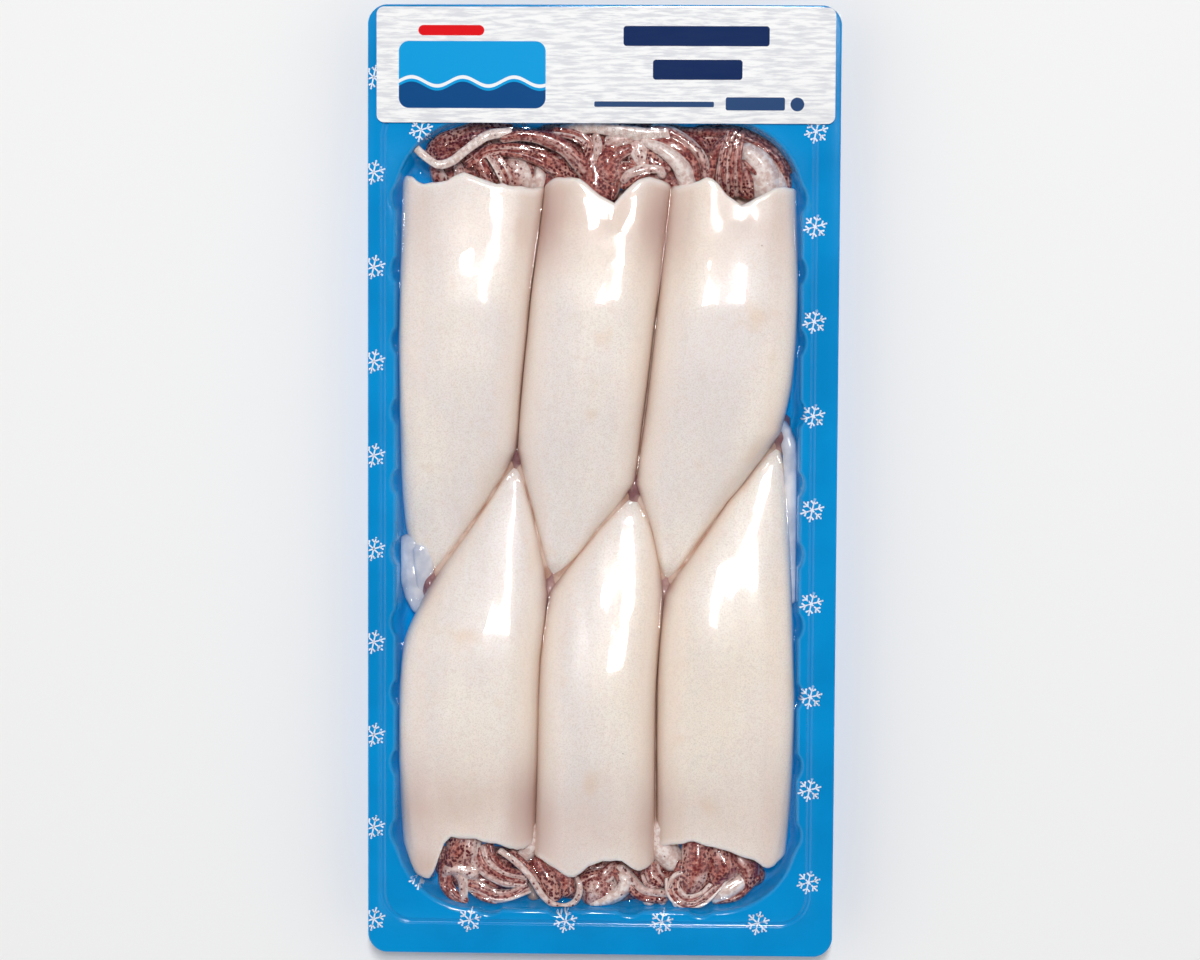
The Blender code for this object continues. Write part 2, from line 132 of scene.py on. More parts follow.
for sign, operation in (("add", "ADD"), ("sub", "SUBTRACT"), ("mul", "MULTIPLY"), ("lt", "LESS_THAN"),
                        ("gt", "GREATER_THAN")):
    setattr(Wire, f"__{sign}__", lambda self, other, kind=operation: self.math(kind, self, other))
    if operation in ("ADD", "SUBTRACT", "MULTIPLY"):
        setattr(Wire, f"__r{sign}__", lambda self, other, kind=operation: self.math(kind, other, self))


class Graph:
    """A node tree under construction, for materials and for geometry."""

    def __init__(self, tree):
        self.tree = tree

    def node(self, kind, inputs=None, output=0, **settings):
        """One output of a new node; each input is a value or a wire."""
        made = self.tree.nodes.new(kind)
        for name, value in settings.items():
            setattr(made, name, value)
        for key, value in (inputs or {}).items():
            if isinstance(value, Wire):
                self.tree.links.new(value.socket, made.inputs[key])
            else:
                made.inputs[key].default_value = value
        return Wire(self, made.outputs[output])

    def joined(self, parts):
        """Several geometries as one."""
        join = self.node("GeometryNodeJoinGeometry")
        for part in parts:
            self.tree.links.new(part.socket, join.socket.node.inputs[0])
        return join

    def end(self, geometry, material):
        """Make a geometry real, in its material, the result of the tree."""
        solid = self.node("GeometryNodeRealizeInstances", {0: geometry})
        done = self.node("GeometryNodeSetMaterial", {0: solid, "Material": material})
        self.tree.links.new(done.socket, self.tree.nodes.new("NodeGroupOutput").inputs[0])


class Finish(Graph):
    """A material: a Principled shader and the nodes that vary it over the surface."""

    def __init__(self, name, **settings):
        self.material = bpy.data.materials.new(name)
        self.material.use_nodes = True
        super().__init__(self.material.node_tree)
        self.shader = self.tree.nodes["Principled BSDF"]
        self.place = self.node("ShaderNodeTexCoord", output="Object")
        self.set(**settings)

    def set(self, **sockets):
        """Constant values and links on the shader's own sockets, named with underscores."""
        for name, value in sockets.items():
            socket = self.shader.inputs[name.replace("_", " ")]
            if isinstance(value, Wire):
                self.tree.links.new(value.socket, socket)
            else:
                socket.default_value = value

    def blend(self, share, low, high):
        """A mix of two colours, each a wire or a hexadecimal code."""
        low, high = [srgb(colour) if isinstance(colour, str) else colour for colour in (low, high)]
        return self.node("ShaderNodeMix", {0: share, 6: low, 7: high}, 2, data_type="RGBA")

    def layered(self, ground, *layers):
        """A colour under layers, each given as its share of cover and its hexadecimal code."""
        for share, code in layers:
            ground = self.blend(share, ground, code)
        return ground

    def painted(self, name):
        """The number that the mesh holds for each vertex under this name."""
        return self.node("ShaderNodeAttribute", output="Fac", attribute_name=name)

    def scattered(self, scale):
        """The distance from the nearest of many scattered points and that point's random share."""
        spread = self.node("ShaderNodeTexVoronoi", {"Vector": self.place, "Scale": scale}, "Distance")
        return spread, self.node("ShaderNodeSeparateColor", {0: spread["Color"]})

    def stretched(self, along):
        """Object coordinates scaled per axis, for grain that runs one way."""
        return self.node("ShaderNodeVectorMath", {0: self.place, 1: along}, operation="MULTIPLY")

    def noise(self, scale, detail=2.0, vector=None, roughness=0.5):
        return self.node("ShaderNodeTexNoise", {
            "Vector": vector or self.place, "Scale": scale, "Detail": detail, "Roughness": roughness})

    def bump(self, height, strength, distance, normal=None):
        inputs = {"Height": height, "Strength": strength, "Distance": distance}
        if normal:
            inputs["Normal"] = normal
        return self.node("ShaderNodeBump", inputs)


# The surround darkens overhead, so that what lies flat keeps its colour
world = bpy.data.worlds.new("surround")
world.use_nodes = True
sky = Graph(world.node_tree)
heading = sky.node("ShaderNodeSeparateXYZ", {0: sky.node("ShaderNodeTexCoord", output="Generated")})
backdrop = world.node_tree.nodes["Background"]
glow = SURROUND_LIGHT - OVERHEAD_LOSS * heading["Z"].between(0.5, 1.0)
sky.tree.links.new(glow.socket, backdrop.inputs["Strength"])
backdrop.inputs["Color"].default_value = (1.0, 1.0, 1.0, 1.0)
scene.world = world


def srgb(code):
    """A colour for a socket from its usual hexadecimal code."""
    channels = [int(code[index:index + 2], 16) / 255.0 for index in (0, 2, 4)]
    return tuple(c / 12.92 if c <= 0.04045 else ((c + 0.055) / 1.055) ** 2.4 for c in channels) + (1.0,)


def add_piece(name, mesh, finish, replaced=()):
    """Link a finished mesh as one piece of the pack and tell the frame about it."""
    piece = bpy.data.objects.new(name, mesh)
    scene.collection.objects.link(piece)
    mesh.materials.clear()
    mesh.materials.append(finish.material)
    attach(piece, "root")
    for node in replaced:
        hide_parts(node)
    return piece


def mesh_from(bm, name, sharp=35.0):
    bmesh.ops.recalc_face_normals(bm, faces=bm.faces)
    mesh = bpy.data.meshes.new(name)
    bm.to_mesh(mesh)
    bm.free()
    mesh.shade_smooth()
    mesh.set_sharp_from_angle(angle=math.radians(sharp))
    return mesh


def loft(bm, rings, close_start=True, close_end=True):
    """Skin rings of equal length in order, and close the ends."""
    made = [[bm.verts.new(point) for point in ring] for ring in rings]
    for lower, upper in zip(made, made[1:]):
        for index in range(len(lower)):
            following = (index + 1) % len(lower)
            bm.faces.new((lower[index], lower[following], upper[following], upper[index]))
    if close_start:
        bm.faces.new(list(reversed(made[0])))
    if close_end:
        bm.faces.new(made[-1])
    return made


floor_bm = bmesh.new()
bmesh.ops.create_grid(floor_bm, x_segments=8, y_segments=8, size=FLOOR_HALF)
floor_mesh = mesh_from(floor_bm, "studio_floor")
floor_finish = Finish("studio_paper", Base_Color=(0.93, 0.93, 0.93, 1.0), Roughness=0.9)
floor = bpy.data.objects.new("studio_floor", floor_mesh)
floor.location.z = cad_box[0][2] - FLOOR_DROP
floor_mesh.materials.append(floor_finish.material)
scene.collection.objects.link(floor)


# ---- Tray: one sheet of glossy blue plastic, drawn by vacuum over a mould. A flat sealing
# ---- flange with a shallow seal groove runs round a well whose drafted walls are stiffened by
# ---- half-round flutes that fade towards the flat floor.
tray_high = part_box("tray")[1]
FLANGE_TOP = tray_high[2]
SHEET = 0.8 * MM
WELL_CENTRE = Vector((-1.4 * MM, -10.0 * MM))
WELL_HALF = (60.5 * MM, 117.9 * MM)
WELL_CORNER = 24.5 * MM
FLUTE_PITCH = 20.85 * MM
FLUTE_COUNTS = (10, 4)
FLUTE_WIDTH = 7.8 * MM
FLUTE_DEPTH = 1.4 * MM
FLUTE_STEPS = 8
CORNER_STEPS = 14
WALL_CLEARANCE = 0.15 * MM
GROOVE_OFFSET = 2.6
GROOVE_CORNER = 9.0 * MM
# Levels of the sheet's upper face in millimetres. The round outer edge, as (distance inside the
# outline, height below the flange); then, as (distance outside the mouth, height below the
# flange), the groove, the rounded mouth, the wall and the round into the floor
OUTER_CORNER = 6.0
OUTER_LEVELS = ((0.0, 0.3), (0.06, 0.1), (0.2, 0.01), (0.5, 0.0), (1.2, 0.0))
GROOVE_LEVELS = ((1.05, 0.0), (0.9, -0.05), (0.72, 0.05), (0.5, 0.34), (0.0, 0.4), (-0.5, 0.34),
                 (-0.72, 0.05), (-0.9, -0.05), (-1.05, 0.0))
MOUTH_LEVELS = ((0.1, 0.0), (-0.25, 0.03), (-0.6, 0.13), (-0.9, 0.36), (-1.15, 0.8), (-1.3, 1.5))
WALL_LEVELS = ((-1.4, 2.6), (-1.5, 5.0), (-1.65, 8.0), (-1.8, 11.0), (-1.9, 12.4))
FLOOR_LEVELS = ((-2.1, 13.4), (-2.6, 14.3), (-3.3, 14.9), (-4.4, 15.2), (-9.0, 15.2))


def flute_reach(share):
    """How far a flute stands out at a place across it, from -1 to 1: part of a circle."""
    half = 0.5 * FLUTE_WIDTH
    radius = (half ** 2 + FLUTE_DEPTH ** 2) / (2.0 * FLUTE_DEPTH)
    return math.sqrt(radius ** 2 - (share * half) ** 2) - (radius - FLUTE_DEPTH)


def tray_ring(centre, half, radius, flute_share, height):
    """One level of the tray: four sides with flutes, joined by round corners."""
    ring = []
    flute_ends = [0.5 * ((count - 1) * FLUTE_PITCH + FLUTE_WIDTH) for count in FLUTE_COUNTS]
    for quarter in range(4):
        angle = math.radians(90.0 * quarter)
        outward = Vector((math.cos(angle), math.sin(angle)))
        along = Vector((-outward.y, outward.x))
        axis = quarter % 2
        side_half, side_along = half[axis], half[1 - axis]
        for flute in range(FLUTE_COUNTS[axis]):
            middle = (flute - 0.5 * (FLUTE_COUNTS[axis] - 1)) * FLUTE_PITCH
            for step in range(FLUTE_STEPS + 1):
                share = 2.0 * step / FLUTE_STEPS - 1.0
                ring.append(centre + outward * (side_half + flute_share * flute_reach(share))
                            + along * (middle + share * 0.5 * FLUTE_WIDTH))
        overrun = (flute_ends[axis] - (side_along - radius)) / radius
        overrun_next = (flute_ends[1 - axis] - (side_half - radius)) / radius
        first = math.asin(min(max(overrun, 0.0), 0.9))
        last = 0.5 * math.pi - math.asin(min(max(overrun_next, 0.0), 0.9))
        corner = centre + outward * (side_half - radius) + along * (side_along - radius)
        for step in range(1, CORNER_STEPS):
            turn = angle + first + (last - first) * step / CORNER_STEPS
            ring.append(corner + radius * Vector((math.cos(turn), math.sin(turn))))
    return [(point.x, point.y, height) for point in ring]


def well_ring(outside, drop, corner=None):
    """A level given by its distance outside the mouth and below the flange, in millimetres."""
    half = (WELL_HALF[0] + outside * MM, WELL_HALF[1] + outside * MM)
    on_wall = not corner and drop < FLOOR_LEVELS[-1][1]
    flutes = min(1.0, max(0.0, 1.04 - 0.06 * drop)) if on_wall else 0.0
    radius = corner or WELL_CORNER + outside * MM
    return tray_ring(WELL_CENTRE, half, radius, flutes, FLANGE_TOP - drop * MM)


tray_bm = bmesh.new()
outline = (tray_high[0], tray_high[1])
tray_rings = [tray_ring(Vector((0.0, 0.0)), (outline[0] - inset * MM, outline[1] - inset * MM),
                        (OUTER_CORNER - inset) * MM, 0.0, FLANGE_TOP - drop * MM)
              for inset, drop in OUTER_LEVELS]
tray_rings += [well_ring(GROOVE_OFFSET + outside, drop, GROOVE_CORNER + outside * MM)
               for outside, drop in GROOVE_LEVELS]
tray_rings += [well_ring(outside, drop) for outside, drop in MOUTH_LEVELS + WALL_LEVELS + FLOOR_LEVELS]
loft(tray_bm, tray_rings, close_start=False)
tray_mesh = mesh_from(tray_bm, "tray_sheet", 50.0)
if tray_mesh.polygons[len(tray_mesh.polygons) - 1].normal.z < 0:
    tray_mesh.flip_normals()

wall_levels = sorted((FLANGE_TOP - drop * MM, outside * MM)
                     for outside, drop in MOUTH_LEVELS + WALL_LEVELS + FLOOR_LEVELS[:-1])
wall_heights = [height for height, _ in wall_levels]
wall_places = [outside for _, outside in wall_levels]


def kept_in_well(place, clearance=WALL_CLEARANCE):
    """The place itself or, past the well's wall or floor, the nearest place on their inner face."""
    room = WELL_CORNER + float(np.interp(place.z, wall_heights, wall_places)) - clearance
    core = [min(max(place[axis], WELL_CENTRE[axis] - WELL_HALF[axis] + WELL_CORNER),
                WELL_CENTRE[axis] + WELL_HALF[axis] - WELL_CORNER) for axis in (0, 1)]
    away = Vector((place.x - core[0], place.y - core[1]))
    if away.length > room:
        away *= room / away.length
    return Vector((core[0] + away.x, core[1] + away.y, max(place.z, wall_heights[0] + clearance)))


# Painted glow: the walls of the well glow a little of their own blue, standing in for light that the thin
# sheet lets through
tray_finish = Finish("tray_blue_plastic", IOR=1.5, Specular_IOR_Level=0.45, Emission_Strength=0.18)
haze = tray_finish.noise(45.0, 3.0)
peel = tray_finish.noise(1400.0, 1.0)
# How far below the flange a place lies, which sets the painted glow
glow_depth = tray_finish.node("ShaderNodeSeparateXYZ", {0: tray_finish.place})["Z"]
glow_depth = 1.0 - glow_depth.between(FLANGE_TOP - 4.0 * MM, FLANGE_TOP - 0.3 * MM)
tray_finish.set(
    Base_Color=tray_finish.blend(haze.between(0.3, 0.7), "0088cb", "0093d8"),
    Emission_Color=tray_finish.blend(glow_depth, "000000", "0096dc"),
    Roughness=0.1 + 0.05 * haze,
    Normal=tray_finish.bump(peel, 0.12, 0.1 * MM))
tray_piece = add_piece("tray_sheet", tray_mesh, tray_finish, ["tray"])
sheet = tray_piece.modifiers.new("sheet", "SOLIDIFY")
sheet.thickness = SHEET
sheet.offset = -1.0


# ---- Snowflakes: a white pattern printed on the tray's sheet before it is drawn, so it runs down
# ---- the walls too. Six-armed flakes on two staggered grids; those under the squid are hidden.
FLAKE_GRIDS = ((-67.3, -130.0, 28.55, 27.65), (-53.4, -117.6, 28.8, 27.65))
FLAKE_COLUMNS = 5
FLAKE_ROWS = 10
INK_HEIGHT = 0.04 * MM


def flake_tree(material):
    """Geometry nodes that build one flake, repeat it on both grids and lay it on the tray."""
    tree = bpy.data.node_groups.new("snowflake_print", "GeometryNodeTree")
    tree.interface.new_socket("Tray", in_out="INPUT", socket_type="NodeSocketObject")
    for name, value in (("Radius", 3.35 * MM), ("Stroke", 0.42 * MM), ("Branch", 1.05 * MM),
                        ("Turn", math.radians(17.0))):
        socket = tree.interface.new_socket(name, in_out="INPUT", socket_type="NodeSocketFloat")
        socket.default_value = value
    tree.interface.new_socket("Geometry", in_out="OUTPUT", socket_type="NodeSocketGeometry")
    graph = Graph(tree)
    given = graph.node("NodeGroupInput")
    radius, stroke, branch = given["Radius"], given["Stroke"], given["Branch"]

    def at(x=0.0, y=0.0, z=0.0):
        return graph.node("ShaderNodeCombineXYZ", {0: x, 1: y, 2: z})

    def bar(length, segments):
        strip = graph.node("GeometryNodeMeshGrid", {
            "Size X": length, "Size Y": stroke, "Vertices X": segments, "Vertices Y": 2})
        placed = graph.node("GeometryNodeTransform", {0: strip, "Translation": at(0.5 * length)})
        dot = graph.node("GeometryNodeMeshCircle", {"Vertices": 10, "Radius": 0.72 * stroke},
                         fill_type="NGON")
        end = graph.node("GeometryNodeTransform", {0: dot, "Translation": at(length)})
        return graph.joined((placed, end))

    side = bar(branch, 4)
    arms = [bar(radius, 9)]
    for turn in (52.0, -52.0):
        arms.append(graph.node("GeometryNodeTransform", {
            0: side, "Translation": at(0.56 * radius), "Rotation": (0.0, 0.0, math.radians(turn))}))
    six = graph.node("GeometryNodeMeshLine", {"Count": 6, "Offset": (0.0, 0.0, 0.0)})
    index = graph.node("GeometryNodeInputIndex")
    turned = at(0.0, 0.0, given["Turn"] + index * math.radians(60.0))
    flake = graph.node("GeometryNodeInstanceOnPoints", {
        "Points": six, "Instance": graph.joined(arms), "Rotation": turned})
    flake = graph.node("GeometryNodeRealizeInstances", {0: flake})
    grids = []
    for left, bottom, pitch_x, pitch_y in FLAKE_GRIDS:
        width, length = pitch_x * (FLAKE_COLUMNS - 1), pitch_y * (FLAKE_ROWS - 1)
        grid = graph.node("GeometryNodeMeshGrid", {
            "Size X": width * MM, "Size Y": length * MM,
            "Vertices X": FLAKE_COLUMNS, "Vertices Y": FLAKE_ROWS})
        grids.append(graph.node("GeometryNodeTransform", {
            0: grid, "Translation": ((left + 0.5 * width) * MM, (bottom + 0.5 * length) * MM, 50.0 * MM)}))
    spread = graph.node("GeometryNodeInstanceOnPoints", {"Points": graph.joined(grids), "Instance": flake})
    spread = graph.node("GeometryNodeRealizeInstances", {0: spread})
    sheet_info = graph.node("GeometryNodeObjectInfo", {"Object": given["Tray"]}, "Geometry")
    fall = graph.node("GeometryNodeRaycast", {
        "Target Geometry": sheet_info, "Ray Direction": (0.0, 0.0, -1.0), "Ray Length": 0.1}, "Is Hit")
    missed = graph.node("FunctionNodeBooleanMath", {0: fall}, operation="NOT")
    kept = graph.node("GeometryNodeDeleteGeometry", {0: spread, "Selection": missed})
    ink = graph.node("ShaderNodeVectorMath", {
        0: fall["Hit Normal"], 1: (INK_HEIGHT,) * 3, 2: fall["Hit Position"]}, operation="MULTIPLY_ADD")
    laid = graph.node("GeometryNodeSetPosition", {0: kept, "Position": ink})
    graph.end(laid, material)
    return tree


def grown_mesh(tree, name, **values):
    """Run a geometry node group once and keep its result as a plain mesh."""
    carrier = bpy.data.objects.new(name, bpy.data.meshes.new(name))
    scene.collection.objects.link(carrier)
    modifier = carrier.modifiers.new("nodes", "NODES")
    modifier.node_group = tree
    for item in tree.interface.items_tree:
        if item.item_type == "SOCKET" and item.in_out == "INPUT" and item.name in values:
            modifier[item.identifier] = values[item.name]
    bpy.context.view_layer.update()
    evaluated = carrier.evaluated_get(bpy.context.evaluated_depsgraph_get())
    mesh = bpy.data.meshes.new_from_object(evaluated)
    bpy.data.objects.remove(carrier, do_unlink=True)
    mesh.name = name
    return mesh


ink_finish = Finish("printed_white", Base_Color=srgb("e6eefc"), Roughness=0.4)
flake_mesh = grown_mesh(flake_tree(ink_finish.material), "snowflake_print", Tray=tray_piece)
add_piece("snowflake_print", flake_mesh, ink_finish)


# ---- Squid tubes: six cleaned mantles of creamy wet flesh, pressed side by side and head to
# ---- tail by the film. Each is a flattened tube with a pointed tip and an open, wavy mouth;
# ---- neighbours share the seam between them.
SEAM_GAP = 0.16 * MM
TUBE_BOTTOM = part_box("mantle_1")[0][2]
TOP_EXPONENT = 3.0
BOTTOM_EXPONENT = 3.4
TIP_ROUNDING = 9.0 * MM
TIP_HEIGHT_SHARE = 0.42
TIP_RISE = 68.0 * MM
MOUTH_WALL = 2.5 * MM
MOUTH_DEPTH = 7.0 * MM
MOUTH_FALL = 38.0 * MM
LOBE_LENGTH = 16.0 * MM
MOUTH_HEIGHT_SHARE = 0.74
LOWER_LIP = 0.3
LEAST_HALF_WIDTH = 0.3 * MM
TIP_LEAST_WIDTH_SHARE = 0.05
TIP_LEAST_HEIGHT_SHARE = 0.3
# Broad rises, pleats and fine grain, as (height in millimetres, waves a metre across and along)
UNEVENNESS = ((0.6, 55.0, 26.0), (0.17, 190.0, 42.0), (0.035, 600.0, 300.0))
# Rings: over the tip, along the tube to a little before the mouth's line, round the rolled edge
# and down into the hollow
TIP_RINGS = 9
RING_STEP = 1.25 * MM
LAST_RING = 1.3 * MM
EDGE_RINGS = 8
EDGE_REACH = 1.2 * MM
HOLLOW_RINGS = 4
# Seams between neighbouring tubes and along the tray wall, each as (x, y) in millimetres; the
# soft flesh is pressed a little further against the left wall than its solid is
SEAMS = {
    "wall_1": ((-59.4, 92), (-60.2, 40), (-60, 14), (-58.6, -14), (-51.9, -31.5)),
    "wall_3": ((56.7, 92), (57.2, 50), (56, 30), (52.8, 15.5)),
    "wall_4": ((-51.9, -31.5), (-58.8, -47), (-60.2, -72), (-59.8, -102), (-57.6, -124)),
    "wall_6": ((52.8, 15.5), (55.2, -8), (57, -60), (56.4, -94), (54.6, -118)),
    "seam_1_2": ((-17.2, 92), (-22.3, 44), (-25.3, 9.8)),
    "seam_2_3": ((20, 92), (15.4, 47), (9.8, 0)),
    "seam_1_4": ((-25.3, 9.8), (-37, -10), (-51.9, -31.5)),
    "seam_2_4": ((-25.3, 9.8), (-21, -8), (-15.8, -32.4)),
    "seam_2_5": ((9.8, 0), (-1.5, -14), (-15.8, -32.4)),
    "seam_3_5": ((9.8, 0), (14.8, -14), (18.4, -32.8)),
    "seam_3_6": ((52.8, 15.5), (37, -5), (18.4, -32.8)),
    "seam_4_5": ((-15.8, -32.4), (-18, -52), (-20.2, -124)),
    "seam_5_6": ((18.4, -32.8), (16.2, -64), (17, -124)),
}
# Each tube: how much darker and warmer it is in a band near its mouth, the seams of its left and
# right side, its tip and mouth along Y and the lobes of its mouth's edge as (x, reach, width), in
# millimetres; its height is taken from its solid
TUBES = {
    1: {"stain": 0.3, "left": ("wall_1",), "right": ("seam_1_2", "seam_1_4"), "tip": -29.5,
        "mouth": 88, "lobes": ((-57, 2.4, 3), (-41, 3.2, 6), (-22, -1.6, 5))},
    2: {"stain": 1.0, "left": ("seam_1_2", "seam_2_4"), "right": ("seam_2_3", "seam_2_5"),
        "tip": -30.2, "mouth": 88, "lobes": ((-11, 2.6, 5), (2, -5.4, 5), (13, 2, 5))},
    3: {"stain": 0.5, "left": ("seam_2_3", "seam_3_5"), "right": ("wall_3", "seam_3_6"),
        "tip": -30.6, "mouth": 87.5, "lobes": ((30, 2.8, 5), (41, -5, 6))},
    4: {"stain": 0.85, "left": ("seam_1_4", "wall_4"), "right": ("seam_2_4", "seam_4_5"),
        "tip": 7.6, "mouth": -107,
        "lobes": ((-50.8, 10.6, 3.2), (-55.6, 8.6, 3.2), (-42, -1.6, 5), (-24, 2.2, 5))},
    5: {"stain": 0.6, "left": ("seam_2_5", "seam_4_5"), "right": ("seam_3_5", "seam_5_6"),
        "tip": -2.4, "mouth": -112, "lobes": ((-9, 5.2, 5), (12, 3.6, 5))},
    6: {"stain": 0.4, "left": ("seam_3_6", "seam_5_6"), "right": ("wall_6",), "tip": 13.2,
        "mouth": -109, "lobes": ((26, -2.6, 7), (50, 4.6, 7))},
}


def smooth_step(share):
    share = min(max(share, 0.0), 1.0)
    return share * share * (3.0 - 2.0 * share)


def curve_point(points, place):
    """A point of the smooth curve through the points; place runs from 0 to their last index."""
    index = min(int(place), len(points) - 2)
    share = place - index
    here, there = Vector(points[index]), Vector(points[index + 1])
    before = Vector(points[index - 1]) if index else here + (here - there)
    beyond = Vector(points[index + 2]) if index + 2 < len(points) else there + (there - here)
    slope_here = 0.5 * (there - before)
    slope_there = 0.5 * (beyond - here)
    square, cube = share ** 2, share ** 3
    return ((2 * cube - 3 * square + 1) * here + (cube - 2 * square + share) * slope_here
            + (3 * square - 2 * cube) * there + (cube - square) * slope_there)


def seam_x(names, y):
    """Where a side of a tube lies across the pack at a station along it."""
    for name in names:
        points = SEAMS[name]
        for index, (here, there) in enumerate(zip(points, points[1:])):
            if there[1] * MM <= y <= here[1] * MM:
                share = (here[1] * MM - y) / ((here[1] - there[1]) * MM)
                return curve_point(points, index + share)[0] * MM
    ends = [point for name in names for point in (SEAMS[name][0], SEAMS[name][-1])]
    return min(ends, key=lambda point: abs(point[1] * MM - y))[0] * MM


def lobe_reach(tube, x):
    """How far the mouth's edge stands out beyond its straight line at one place across."""
    ragged = 1.1 * noise.noise(Vector((x * 230.0, tube["mouth"], 0.0))) + 0.3 * noise.noise(
        Vector((x * 900.0, tube["mouth"], 9.0)))
    return ragged * MM + sum(reach * MM * math.exp(-((x - place * MM) / (width * MM)) ** 2)
                             for place, reach, width in tube["lobes"])


def section_size(tube, y):
    """Left side, right side and height of a tube at a station along it."""
    left = seam_x(tube["left"], y) + 0.5 * SEAM_GAP
    right = seam_x(tube["right"], y) - 0.5 * SEAM_GAP
    from_tip = abs(y - tube["tip"] * MM)
    from_mouth = abs(y - tube["mouth"] * MM)
    rounding = math.sqrt(1.0 - (1.0 - min(from_tip / TIP_ROUNDING, 1.0)) ** 2)
    middle = 0.5 * (left + right)
    half_width = max(0.5 * (right - left), LEAST_HALF_WIDTH) * max(rounding, TIP_LEAST_WIDTH_SHARE)
    rise = TIP_HEIGHT_SHARE + (1.0 - TIP_HEIGHT_SHARE) * smooth_step(from_tip / TIP_RISE)
    fall = MOUTH_HEIGHT_SHARE + (1.0 - MOUTH_HEIGHT_SHARE) * smooth_step(from_mouth / MOUTH_FALL)
    height = tube["height"] * rise * fall * max(rounding, TIP_LEAST_HEIGHT_SHARE)
    return middle - half_width, middle + half_width, height


def tube_section(tube, y, inset=0.0, follow_lobes=0.0, points=72):
    """One ring across a tube: rounded above, flatter where it lies on the tray floor."""
    left, right, height = section_size(tube, y)
    half_width = 0.5 * (right - left) - inset
    half_height = 0.5 * height - inset
    outward = math.copysign(1.0, tube["mouth"] - tube["tip"])
    ring = []
    for step in range(points):
        angle = math.tau * (step + 0.5) / points
        cosine, sine = math.cos(angle), math.sin(angle)
        power = 2.0 / (TOP_EXPONENT if sine > 0 else BOTTOM_EXPONENT)
        x = 0.5 * (left + right) + half_width * math.copysign(abs(cosine) ** power, cosine)
        z = TUBE_BOTTOM + 0.5 * height + half_height * math.copysign(abs(sine) ** power, sine)
        follow = follow_lobes * (LOWER_LIP + (1.0 - LOWER_LIP) * smooth_step((z - TUBE_BOTTOM) / height))
        ring.append((x, y + follow * outward * lobe_reach(tube, x), z))
    return ring


def tube_rings(tube):
    """Rings from the closed tip over the mouth's rolled edge and down into its hollow."""
    tip, mouth = tube["tip"] * MM, tube["mouth"] * MM
    outward = math.copysign(1.0, mouth - tip)
    length = abs(mouth - tip)
    reach = [TIP_ROUNDING * (1.0 - math.cos(0.5 * math.pi * step / TIP_RINGS)) for step in range(TIP_RINGS)]
    steps = int((length - TIP_ROUNDING - EDGE_REACH) / RING_STEP)
    straight = length - TIP_ROUNDING - LAST_RING
    reach += [TIP_ROUNDING + straight * step / steps for step in range(steps + 1)]
    rings = []
    for distance in reach:
        follow = smooth_step(1.0 - (length - distance) / LOBE_LENGTH)
        rings.append(tube_section(tube, tip + outward * distance, 0.0, follow))
    for step in range(1, EDGE_RINGS):
        turn = math.pi * step / EDGE_RINGS
        back = 1.0 - math.sin(turn)
        inset = 0.5 * MOUTH_WALL * (1.0 - math.cos(turn))
        rings.append(tube_section(tube, mouth - outward * back * EDGE_REACH, inset, 1.0 - 0.06 * back))
    for step in range(1, HOLLOW_RINGS + 1):
        depth = EDGE_REACH + (MOUTH_DEPTH - EDGE_REACH) * step / HOLLOW_RINGS
        follow = 0.92 * (1.0 - step / HOLLOW_RINGS)
        rings.append(tube_section(tube, mouth - outward * depth, MOUTH_WALL, follow))
    return rings


def flesh_unevenness(place, seed):
    """Small rises and hollows of soft flesh, drawn out along the tube; in metres."""
    shift = Vector((seed * 13.7, seed * 5.1, seed * 2.3))
    return sum(size * noise.noise(Vector((place.x * across, place.y * along, place.z * across)) + shift)
               for size, across, along in UNEVENNESS) * MM


